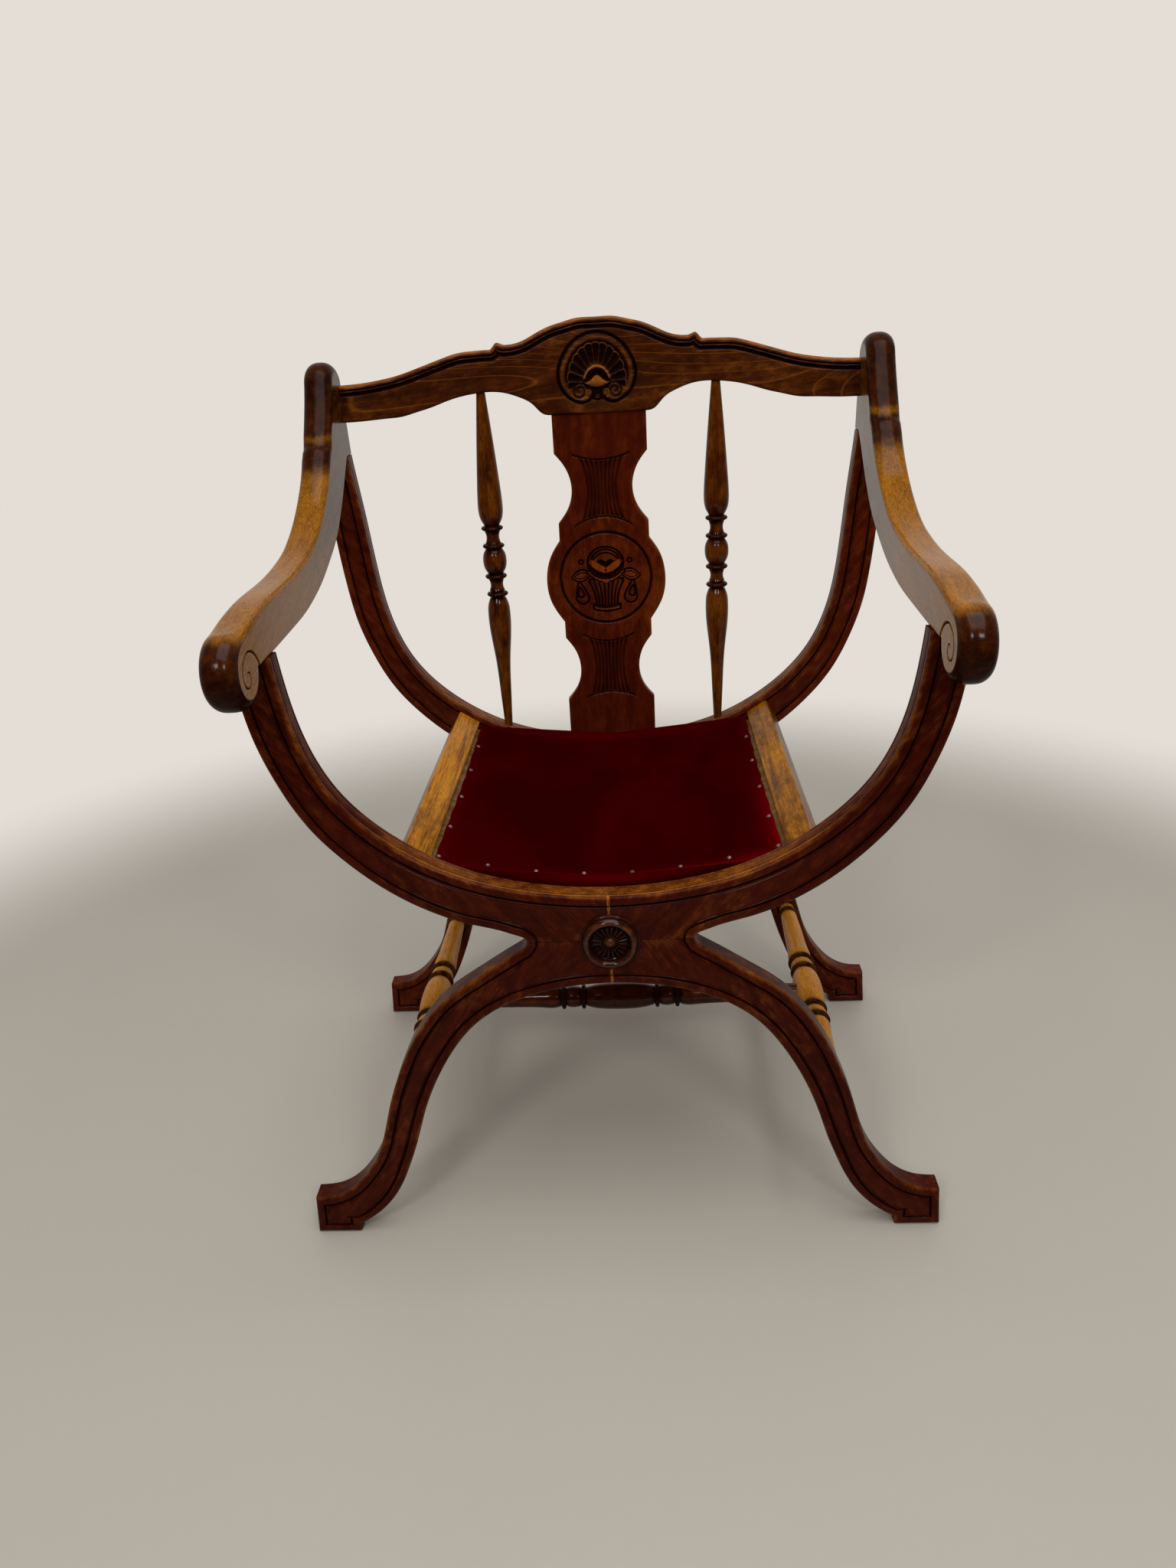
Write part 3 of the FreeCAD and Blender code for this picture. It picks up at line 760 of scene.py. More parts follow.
@dataclass(frozen=True)
class DullSteel(Look):
    """Old upholstery nails: steel dulled by handling, a little scratched."""

    name: str = "nail_steel"
    bright: tuple = (136, 108, 104)
    dull: tuple = (72, 46, 44)

    def mix(self, board: NodeBoard) -> Material:
        """Builds the nodes: tarnish in soft spots over bare metal.

        Args:
            board: where the nodes go.

        Returns:
            The material.
        """
        place = board.place()
        tarnish = board.noise(place, 420.0, 3.0, 0.6)
        colour = board.blend(board.window(tarnish, 0.38, 0.62), tint(*self.bright),
                             tint(*self.dull))
        rough = board.window(tarnish, 0.3, 0.7, 0.28, 0.55)
        return board.surface({"Base Color": colour, "Roughness": rough, "Metallic": 0.55,
                              "Normal": board.bump(tarnish, 0.2, 0.0001)})


FRAME_WOOD = StainedWood("frame_mahogany", (46, 9, 3), (66, 17, 5), (88, 34, 9), (164, 98, 30),
                         polish=0.06, gloss=0.03)
REAR_WOOD = StainedWood("rear_frame_mahogany", (54, 14, 4), (88, 28, 8), (112, 46, 13),
                        (150, 104, 52), polish=0.06, gloss=0.03)
ARM_WOOD = StainedWood("arm_beech", (32, 9, 3), (66, 27, 6), (92, 46, 9), (144, 90, 10),
                       roughness=0.22, polish=0.16, grime=0.45, flecks=0.5)
CREST_WOOD = StainedWood("crest_walnut", (44, 17, 4), (66, 27, 6), (90, 42, 11), (160, 92, 26),
                         polish=0.08, rings=0.26)
SPLAT_WOOD = StainedWood("splat_walnut", (58, 13, 3), (76, 22, 4), (94, 34, 7), (136, 62, 14),
                         polish=0.08, figure=0.6, flecks=0.2)
SPINDLE_WOOD = StainedWood("spindle_beech", (32, 7, 2), (74, 24, 5), (100, 44, 8), (132, 74, 10),
                           roughness=0.24, polish=0.32)
STRETCHER_WOOD = StainedWood("stretcher_beech", (46, 18, 6), (106, 56, 12), (150, 92, 24),
                             (196, 128, 38), roughness=0.32, polish=0.16, grime=0.35)
RAIL_WOOD = StainedWood("rail_beech", (60, 30, 5), (106, 62, 10), (144, 88, 18),
                        (190, 122, 20), roughness=0.34, polish=0.06, grime=0.8)
ROSETTE_WOOD = StainedWood("rosette_walnut", (20, 5, 3), (46, 16, 8), (70, 30, 14),
                           (120, 62, 30), roughness=0.20, polish=0.4)
UNDER_WOOD = StainedWood("seat_beech", (96, 62, 34), (146, 106, 64), (170, 130, 84),
                         (190, 152, 104), run=Grain.ALONG_X, roughness=0.55, polish=0.0)
DOWEL_WOOD = StainedWood("dowel_beech", (120, 84, 48), (168, 128, 82), (188, 150, 102),
                         (200, 166, 120), run=Grain.ALONG_Z, roughness=0.6, polish=0.0)
NAIL_STEEL = DullSteel()
PAD_VELVET = Velvet()


# The plan that every sub-assembly shares
@dataclass(frozen=True)
class Plan:
    """Driving sizes of the chair and its outline curves, the same as the CAD source's.

    The curves are given by shares of their own width and height, as (across, up).
    """

    front_face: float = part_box("front_lower_right")[0].y / MM
    rear_face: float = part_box("rear_lower_right")[0].y / MM
    timber: float = 24.0
    crossing: float = 370.0
    seat_dip: float = 417.5
    arch_top: float = 320.0
    crotch: float = 82.0
    front_tip: float = 667.0
    rear_tip: float = 791.0
    gap_front: float = 290.0
    gap_rear: float = 301.0
    tip_width: float = 33.0
    toe: float = 344.0
    toe_height: float = 47.5
    toe_set_in: float = 3.0
    foot: float = 49.0
    heel_step: float = 10.0
    seat_half: float = 173.0
    seat_shares: tuple = ((0, 0), (0.243, 0.017), (0.449, 0.062), (0.674, 0.165),
                          (0.834, 0.301), (0.920, 0.467), (0.952, 0.625), (0.976, 0.823), (1, 1))
    outer_shares: tuple = ((0, 0), (0.003, 0.005), (0.016, 0.012), (0.040, 0.018),
                           (0.087, 0.029), (0.218, 0.052), (0.357, 0.086), (0.500, 0.138),
                           (0.659, 0.221), (0.782, 0.311), (0.873, 0.420), (0.929, 0.523),
                           (0.956, 0.618), (0.972, 0.705), (1, 1))
    leg_outer_shares: tuple = ((0, 1), (0.004, 0.988), (0.017, 0.975), (0.039, 0.963),
                               (0.085, 0.940), (0.210, 0.873), (0.342, 0.795), (0.438, 0.705),
                               (0.508, 0.612), (0.562, 0.516), (0.613, 0.405), (0.655, 0.287),
                               (0.698, 0.188), (0.756, 0.110), (0.834, 0.042), (0.916, 0.008),
                               (1, 0))
    leg_inner_shares: tuple = ((0, 1), (0.205, 0.979), (0.366, 0.926), (0.479, 0.852),
                               (0.579, 0.732), (0.664, 0.577), (0.705, 0.474), (0.743, 0.358),
                               (0.781, 0.261), (0.829, 0.161), (0.887, 0.084), (0.955, 0.026),
                               (1, 0))

    @property
    def splay(self) -> float:
        """The angle of an arm, wider at the back."""
        return math.atan2(self.gap_rear - self.gap_front, self.rear_face - self.front_face)

    @property
    def back_middle(self) -> float:
        """The middle of the rear frame's thickness, where the back stands."""
        return self.rear_face + self.timber / 2

    @property
    def seam(self) -> Array:
        """The level seam between the quarters, from the middle to the crotch."""
        return np.array([[0.0, self.crossing], [self.crotch, self.crossing]])

    def seat_line(self) -> Line:
        """The inner edge of an upper quarter, from the middle of the seat to the rear tip.

        Returns:
            The line.
        """
        rise = self.rear_tip - self.seat_dip
        spots = np.array(self.seat_shares) * (self.gap_rear, rise) + (0.0, self.seat_dip)
        lean = (self.gap_rear - self.gap_front, rise * 0.33)
        return Line(spline(spots, 3.0, (1.0, 0.0), lean))

    def outer_line(self) -> Line:
        """The outer edge of an upper quarter, from the crotch to the rear tip."""
        span = (self.gap_rear + self.tip_width - self.crotch, self.rear_tip - self.crossing)
        spots = np.array(self.outer_shares) * span + (self.crotch, self.crossing)
        return Line(spline(spots, 1.5, (0.0, 1.0)))

    def leg_outer_line(self) -> Line:
        """The outer edge of a lower quarter, from the crotch to the top of the toe."""
        span = (self.toe - self.toe_set_in - self.crotch, self.crossing - self.toe_height)
        spots = np.array(self.leg_outer_shares) * span + (self.crotch, self.toe_height)
        return Line(spline(spots, 1.5, (0.0, -1.0)))

    def leg_inner_line(self) -> Line:
        """The inner edge of a lower quarter, from the top of the arch to the heel."""
        span = (self.toe - self.foot, self.arch_top - self.heel_step)
        spots = np.array(self.leg_inner_shares) * span + (0.0, self.heel_step)
        return Line(spline(spots, 3.0, (1.0, 0.0), (1.0, -0.5)))

    def seat_height(self, reach: Array) -> Array:
        """Height of the seat curve at distances from the middle."""
        line = self.seat_line().points
        return np.interp(np.abs(reach), line[:, 0], line[:, 1])


PLAN = Plan()


@dataclass
class XFrame:
    """One of the two curved X frames: four sawn quarters with a moulding run round each face."""

    name: str
    face: float
    tip: float
    look: StainedWood
    corner: float = 3.4
    groove_at: float = 9.9
    groove_half: float = 1.8
    groove_depth: float = 2.0
    hair_at: float = 12.6
    hair_half: float = 0.8
    hair_depth: float = 0.6
    nick_half: float = 0.8
    nick_depth: float = 0.45
    band: tuple = (5.4, 2.8, -0.35)
    side_lines: tuple = (7.0, 19.8)
    side_cut: tuple = (0.8, 0.7)
    eased: float = 0.35
    back_steps: tuple = (1.2, 14.0)
    glow_height: float = 7.0
    glow_run: tuple = ((26.0, 44.0), (70.0, 84.0))
    filler: tuple = ((396.0, 399.0), (319.0, 321.0), (337.0, 335.0))
    edge_steps: tuple = (0.0, 0.15, 0.5, 1.1, 2.0, 3.4, 5.2, 7.2, 8.3, 8.8, 9.3, 9.9, 10.5, 11.0,
                         11.5, 12.0, 12.3, 12.6, 12.9, 13.4, 14.6)
    side_steps: tuple = (4.6, 6.0, 6.4, 6.7, 7.0, 7.3, 7.6, 8.0, 11.0, 15.0, 18.8, 19.2, 19.5,
                         19.8, 20.1, 20.4, 20.8, 22.2)

    def recess(self, inside: Array, seam: Array) -> tuple[Array, Array]:
        """Depth of the carved face and its darkening, from the distance to the edge and to a seam.

        The edge is rounded over, a groove and a hair line run beside it, and the seams between
        the quarters show as fine nicks. The groove, the hair line and the nicks are darkened with
        painted shade and old polish.
        the quarters show as fine nicks.

        Args:
            inside: distance in from the nearest edge.
            seam: distance from the nearest seam.

        Returns:
            The depths and the soils.
        """
        groove = hollow(inside, self.groove_at, self.groove_half, self.groove_depth)
        hair = hollow(inside, self.hair_at, self.hair_half, self.hair_depth)
        nick = hollow(seam, 0.0, self.nick_half, self.nick_depth)
        depth = round_over(inside, self.corner) + groove + hair + nick + hollow(inside, *self.band)
        # Painted shade and old polish in the groove, the hair line and the nicks.
        shade_and_soil = np.clip(groove / self.groove_depth * 1.3, 0, 0.95) + hair / self.hair_depth * 0.4
        return depth, np.clip(shade_and_soil + nick, 0.0, 1.0)

    def rub(self, spots: Array, edge: Array, shade_and_soil: Array) -> tuple:
        """Tone and darkening of the face: pale edges, worn and with a painted highlight, a glow by
        the level seam, and pale filler in two short runs of the upright seam, which takes the
        darkening away.

        Args:
            spots: points of the face, as (across, up).
            edge: how far in from the edge each lies.
            shade_and_soil: how dark each is painted so far, as shade and old polish.

        Returns:
            The tones and the soils.
        """
        across, up = spots[..., 0], spots[..., 1]
        glow = np.exp(-((up - PLAN.crossing) / self.glow_height) ** 2)
        glow = glow * ease(across, *self.glow_run[0]) * (1.0 - ease(across, *self.glow_run[1]))
        # Pale within a few millimetres of the edges: wear with a painted highlight.
        tone = 0.26 * (1.0 - ease(edge, 0.6, 4.0)) + 0.04 + 0.16 * glow
        drift = 0.5 * np.sin(up * 0.9) + 0.4 * np.sin(up * 0.37)
        above, floor, roof = self.filler
        filled = ease(0.9 - np.abs(across - 0.5 - drift * 0.4), 0.0, 0.5) * np.maximum(
            ease(up, *above), ease(up, *roof) * ease(up, *floor))
        filled = filled * (self.name == "front")
        return np.maximum(tone, 1.4 * filled), shade_and_soil * (1.0 - filled)

    def rings(self, inner: Array, outer: Array, borders: Callable,
              rubbed: tuple) -> tuple[Array, Array, Array]:
        """Closed cross-sections of a quarter at each pair of stations.

        Stations across the face keep fixed distances from either edge, so grooves stay crisp.
        The face lies back by its recess, the two sides are straight, and the back is flat with
        its corners eased.

        Args:
            inner: stations on the inner edge.
            outer: stations on the outer edge.
            borders: gives each point's distances from the edges other than the crotch's.
            rubbed: how far the inner and the outer side are made pale where they face up: painted
                light from above, with wear.

        Returns:
            The rings, their tones and their soils.
        """
        inner, outer = inner[:, None, :], outer[:, None, :]
        span = np.linalg.norm(outer - inner, axis=-1)
        near = np.array(self.edge_steps) / span
        middle = near[:, -1:] + np.linspace(0.0, 1.0, 6)[1:-1] * (1.0 - 2.0 * near[:, -1:])
        share = beside(near, middle, 1.0 - near[:, ::-1])[..., None]
        spots = inner * (1.0 - share) + outer * share
        crotch = [np.abs(line.offset(spots)) for line in (PLAN.outer_line(), PLAN.leg_outer_line())]
        edge = np.maximum(np.minimum.reduce([*crotch, *borders(spots)]), 0.0)
        seam = np.minimum(np.abs(spots[..., 0]), np.abs(spots[..., 1] - PLAN.crossing))
        depth, shade_and_soil = self.recess(edge, seam)
        face_tone, shade_and_soil = self.rub(spots, edge, shade_and_soil)
        steps = np.array(self.side_steps)
        back, fore = (np.maximum(steps, depth[:, at] + 0.4) for at in (slice(-1, None), slice(1)))
        fore = fore[:, ::-1]
        ends = np.array([self.eased, *self.back_steps]) / span
        share = beside(1 - ends, ends[:, ::-1])[..., None]
        rear = inner * (1 - share) + outer * share
        flat = [PLAN.timber - self.eased, *([PLAN.timber] * 4), PLAN.timber - self.eased]
        lines = sum(hollow(fore, at, *self.side_cut) for at in self.side_lines)
        cut = inner + (outer - inner) / span[..., None] * lines[..., None]
        plane = beside(spots, np.repeat(outer, len(steps), 1), rear, cut)
        deep = beside(depth, back, np.broadcast_to(flat, rear.shape[:2]), fore)
        # The sides are paler the more they face up, the inner one most by its front corner: painted
        # light from above and a painted highlight on that corner, with wear.
        painted_light_in, painted_light_out = self.facing_up(inner[:, 0], 1.0), self.facing_up(outer[:, 0], -1.0)
        tones = beside(face_tone, np.repeat(0.1 + rubbed[1] * painted_light_out, len(steps), 1),
                       np.full(rear.shape[:2], 0.12),
                       0.1 + painted_light_in * rubbed[0] * (1.0 + 1.5 * (fore < 5.5)))
        # The fine lines along the inner side are darkened with painted shade and old polish.
        shades_and_soils = beside(shade_and_soil, np.zeros(back.shape), np.zeros(rear.shape[:2]),
                       np.clip(lines * 1.3, 0, 0.9))
        return np.stack([plane[..., 0], self.face + deep, plane[..., 1]], -1), tones, shades_and_soils

    @staticmethod
    def facing_up(edge: Array, hand: float) -> Array:
        """How much the side along an edge faces up: the level part of the edge's direction."""
        way = unit(np.gradient(edge, axis=0))
        return np.clip(hand * way[:, :1], 0.0, 1.0) ** 2

    def quarter(self, part: str, side: Side, surface: tuple, plank: Board) -> Piece:
        """Finishes one quarter from its rings, tones and soils."""
        node = f"{self.name}_{part}_{side.word}"
        return Skin.closed(*surface).finish(node + "_carved", self.look, "frame_wood", [node],
                                            side, plank)

    def upper(self, side: Side) -> Piece:
        """One upper quarter, from the crossing to the arm.

        Args:
            side: the hand of the chair.

        Returns:
            The quarter.
        """
        seat = PLAN.seat_line()
        inner, rim = self.trim(seat), self.trim(PLAN.outer_line())
        outer = Line(np.concatenate([PLAN.seam, rim.points[1:]]))
        mate = inner.nearest((PLAN.crotch - 8.0, PLAN.seat_dip + 5.0))
        marks = [(0.0, 0.0), (mate, PLAN.crotch), (inner.length, outer.length)]
        surface = self.rings(*pair_up(inner, outer, marks, [0.9, 2.6]),
                             lambda spots: [-seat.offset(spots)], (0.34, 0.1))
        return self.quarter("upper", side, surface, Board(
            (0.62, 0.0, 0.78), (-0.78, 0.0, 0.62), (140.0 * side.value, 60.0, 0.0)))

    def lower(self, side: Side) -> Piece:
        """One lower quarter, from the crossing to the foot.

        Args:
            side: the hand of the chair.

        Returns:
            The quarter.
        """
        arch, leg = PLAN.leg_inner_line(), PLAN.leg_outer_line()
        heel = PLAN.toe - PLAN.foot
        toe_top, toe_foot = (PLAN.toe - PLAN.toe_set_in, PLAN.toe_height), (PLAN.toe, 0.0)
        inner = Line(np.concatenate([arch.points, [(heel, 0.0)]]))
        outer = Line(np.concatenate([PLAN.seam, leg.points[1:], [toe_foot]]))
        mate = inner.nearest((PLAN.crotch - 14.0, PLAN.arch_top - 6.0))
        ankle = (inner.nearest((heel - 34.0, 36.0)), outer.nearest((281.0, 78.0)))
        marks = [(0.0, 0.0), (mate, PLAN.crotch), ankle,
                 (inner.nearest((heel, PLAN.heel_step)), outer.nearest(toe_top)),
                 (inner.length, outer.length)]
        toe = Line(np.array([toe_foot, toe_top]))

        def borders(spots: Array) -> list:
            """Distances from the arch, the heel's notch, the floor and the toe."""
            notch = np.maximum(spots[..., 0] - heel, spots[..., 1] - PLAN.heel_step)
            return [np.abs(arch.offset(spots)), notch, spots[..., 1],
                    toe.offset(spots, True, True)]

        surface = self.rings(*pair_up(inner, outer, marks, [0.9, 2.4, 0.8, 0.7]), borders,
                             (0.1, 0.25))
        return self.quarter("lower", side, surface, Board(
            (0.55, 0.0, -0.83), (0.83, 0.0, 0.55), (90.0 * side.value, 20.0, 40.0)))

    def trim(self, line: Line) -> Line:
        """The part of a rising line below the tip's level, ended exactly on that level."""
        place = np.interp(self.tip, line.points[:, 1], line.reach)
        kept = line.points[line.reach < place]
        return Line(np.concatenate([kept, line.at(np.array([place]))]))

    def build(self) -> None:
        """Makes all four quarters."""
        for side in Side:
            self.upper(side)
            self.lower(side)


@dataclass
class Armrest:
    """A scrolled arm and its back post, sawn from one board with softened edges.

    The outline lies in the arm's own upright plane, as (back, up) from the front frame's face.
    """

    side: Side
    width: float = 32.0
    scroll_radius: float = 33.5
    scroll_centre: tuple = (-52.5, 672.0)
    post_top: float = 897.0
    depth: float = 444.0
    back_head: float = 879.0
    soft_edge: float = 13.5
    crisp_edge: float = 4.5
    crown: float = 2.0
    pinch_height: float = 815.0
    pinch_lip: float = 4.0
    coil_centre: tuple = (-52.5, 667.0)
    coil_radius: float = 18.0
    coil_rates: tuple = (0.40, 0.24)
    coil_end: float = 520.0
    coil_fade: float = 40.0
    side_steps: int = 44
    side_starts: tuple = (0.0, 0.006, 0.014)
    brow: tuple = (-14.0, 709.0)
    facing: tuple = (((24.0, 667.0), (26.0, 712.2)), ((372.9, 752.0), (349.9, 828.9)),
                     ((420.0, 791.0), (415.0, 897.0)))
    scroll_softens: tuple = (8.0, 86.0)
    post_softens: tuple = (745.0, 800.0)
    top_points: tuple = ((-52.5, 705.5), (20, 712.1), (110.1, 713.9), (165.2, 718.1), (205.1, 725),
                         (240.2, 736.9), (272.2, 753), (300.1, 775.1), (325.9, 801.1),
                         (349.9, 828.9), (371.2, 857.9), (384.1, 880))
    under_points: tuple = ((24, 667), (100, 669), (144, 671), (185.2, 676), (225.2, 684),
                           (275.1, 699), (317, 715), (349.9, 735), (372.9, 752), (399.8, 775),
                           (420, 791))

    def top_line(self) -> Line:
        """The rounded edge: round the scroll from its heel, along the rest and over the post.

        Returns:
            The line.
        """
        heel_turn = -math.degrees(math.asin((self.scroll_centre[1] - PLAN.front_tip)
                                            / self.scroll_radius))
        coil = arc(self.scroll_centre, self.scroll_radius, heel_turn, -270.0, 1.0)
        rest = spline(np.array(self.top_points), 1.5, (1.0, 0.0), (0.42, 0.91))
        crown = (self.depth - 29.0, self.post_top)
        knob = spline(np.array([self.top_points[-1], (395.0, 891.8), crown, (433.0, 891.0),
                                (self.depth, self.back_head)]), 1.0, (0.42, 0.91), (0.40, -0.92))
        return Line(np.concatenate([coil, rest, knob]))

    def under_line(self) -> Line:
        """The plain edge: from the scroll's centre to its heel, then along the underside.

        Returns:
            The line.
        """
        lift = self.scroll_centre[1] - PLAN.front_tip
        heel = (self.scroll_centre[0] + math.sqrt(self.scroll_radius ** 2 - lift ** 2),
                PLAN.front_tip)
        belly = spline(np.array(self.under_points), 2.0)
        return Line(np.concatenate([[self.scroll_centre, heel], belly,
                                    [(self.depth, PLAN.rear_tip)]]))

    def coil_groove(self, back: Array, up: Array) -> Array:
        """Depth of the carved coil, which starts where the arm's underside meets the scroll.

        Its radius shrinks by a steady share of itself for each turn: fast over the first quarter,
        up to the top, and slower from there on.

        Args:
            back: how far back each point lies.
            up: its height.

        Returns:
            The depths.
        """
        away = np.hypot(back - self.coil_centre[0], up - self.coil_centre[1])
        turn = np.degrees(np.arctan2(up - self.coil_centre[1], back - self.coil_centre[0]))
        turn = turn % 360.0
        depth = np.zeros_like(away)
        for winding in (0.0, 360.0):
            past = np.radians(turn + winding) - math.pi / 2
            rate = np.where(past < 0, self.coil_rates[0], self.coil_rates[1])
            radius = self.coil_radius * np.exp(-rate * past)
            fade = 1.0 - ease(turn + winding, self.coil_end - self.coil_fade, self.coil_end)
            depth = np.maximum(depth, hollow(away - radius, 0.0, 0.9 + 0.03 * radius, 1.5) * fade)
        return depth

    def tone_of(self, back: Array, up: Array) -> Array:
        """How far the top is rubbed: pale along the rest and at the pinch, dark elsewhere.

        Args:
            back: how far back each point lies.
            up: its height.

        Returns:
            The tones.
        """
        front = ease(back * 0.5 + up, 654.0, 684.0)
        post = np.maximum(1.0 - ease(up, 766.0, 802.0),
                          0.7 * np.exp(-((up - self.pinch_height - self.pinch_lip) / 5.0) ** 2))
        return np.clip(front * post, 0.0, 1.0)

    def painted_shade_of(self, back: Array, up: Array) -> Array:
        """Painted shade: darker below the scroll's brow and on the front of the post, less at the
        post's lip.
        """
        scroll = 0.55 * (1.0 - ease(up, 660.0, 700.0)) * (back < 0.0)
        lip = np.exp(-((up - self.pinch_height - self.pinch_lip) / 7.0) ** 2)
        return scroll + 0.42 * ease(up, 776.0, 806.0) * (1.0 - 0.8 * lip)

    def pinch(self, up: Array) -> Array:
        """How far the front of the post dips: a long hollow from above that ends in a step."""
        past = up - self.pinch_height
        half = np.where(past > 0.0, 15.0, 4.5)
        return hollow(past / half, 0.0, 1.0, 2.6) - hollow(past + 13.0, 0.0, 9.0, 0.8)

    def build(self) -> Piece:
        """Makes the arm.

        Each cross-section runs up one side, over a slightly crowned top with round corners, down
        the other side and back under. Its corners follow a circle, measured square to the top
        line, and the coil is cut into both sides.

        Returns:
            The armrest.
        """
        top, under = self.top_line(), self.under_line()
        centre, radius = self.scroll_centre, self.scroll_radius
        marks = [(0.0, 0.0), (0.0, top.nearest((centre[0], centre[1] + radius))),
                 (under.nearest((centre[0] + radius, PLAN.front_tip)), top.nearest(self.brow)),
                 *[(under.nearest(low), top.nearest(high)) for low, high in self.facing],
                 (under.length, top.length)]
        low, high = pair_up(under, top, marks, [1.3, 1.0, 1.6, 4.0, 2.0, 1.5])
        way = unit(np.gradient(high, axis=0))
        inward = np.stack([way[:, 1], -way[:, 0]], -1)
        inward = inward * np.sign((inward * (low - high)).sum(1, keepdims=True) + 1e-9)
        bend = np.linspace(0.0, math.pi / 2, 9)
        rounded = np.maximum(ease(-high[:, :1], *self.scroll_softens),
                             ease(high[:, 1:], *self.post_softens))
        soft = self.crisp_edge + (self.soft_edge - self.crisp_edge) * rounded
        edge_in = soft * (1.0 - np.cos(bend))
        edge_down = soft * (1.0 - 0.35 * rounded) * (1.0 - np.sin(bend))
        flat = soft + (self.width - 2.0 * soft) * np.linspace(0.0, 1.0, 6)[None, 1:-1]
        across = beside(edge_in, flat, self.width - edge_in[:, ::-1])
        down = beside(edge_down, 0.0 * flat, edge_down[:, ::-1])
        down = down + self.pinch(high[:, 1:]) * (high[:, :1] > 250.0)
        down = down + self.crown * (0.35 + 0.65 * rounded) * (1.0 - 2.0 * across / self.width) ** 2
        over = high[:, None, :] + inward[:, None, :] * down[..., None]
        share = np.concatenate([self.side_starts, np.linspace(0.0, 1.0, self.side_steps)[1:-1]])
        share = share[None, :, None]
        flank = low[:, None, :] * (1.0 - share) + over[:, :1, :] * share
        rise = np.linalg.norm(flank - low[:, None, :], axis=-1)
        coil = self.coil_groove(flank[..., 0], flank[..., 1])
        groove = coil + round_over(rise, 1.8) * (low[:, None, 0] > -24.0)
        belly = np.linspace(self.width, 0.0, 5)[1:-1]
        under_shape = (len(high), len(belly))
        plane = beside(flank, over, flank[:, ::-1], np.repeat(low[:, None, :], len(belly), 1))
        reach = beside(groove, across, self.width - groove[:, ::-1],
                       np.broadcast_to(belly, under_shape))
        side_tone = 0.84 - 0.6 * ease(flank[..., 1] + 0.3 * flank[..., 0], 700.0, 860.0)
        crest = (over[..., 0], over[..., 1])
        tone = beside(side_tone, self.tone_of(*crest), side_tone[:, ::-1],
                      np.full(under_shape, 0.2))
        # Painted shade and old polish in the coil's groove on both sides; on top, painted shade
        # below the scroll's brow and on the post.
        groove_shade_and_soil = np.clip(coil * 0.8, 0, 1)
        shade_and_soil = beside(groove_shade_and_soil, self.painted_shade_of(*crest), groove_shade_and_soil[:, ::-1], np.zeros(under_shape))
        turn_cos, turn_sin = math.cos(PLAN.splay), math.sin(PLAN.splay)
        spots = np.stack([PLAN.gap_front + reach * turn_cos + plane[..., 0] * turn_sin,
                          PLAN.front_face + plane[..., 0] * turn_cos - reach * turn_sin,
                          plane[..., 1]], -1)
        node = self.side.word + "_armrest"
        plank = Board((0.0, 0.97, 0.25), (0.0, -0.25, 0.97), (30.0, 75.0 * self.side.value, 10.0))
        return Skin.closed(spots, tone, shade_and_soil).finish(node + "_polished", ARM_WOOD, "arm_wood",
                                                     [node], self.side, plank)


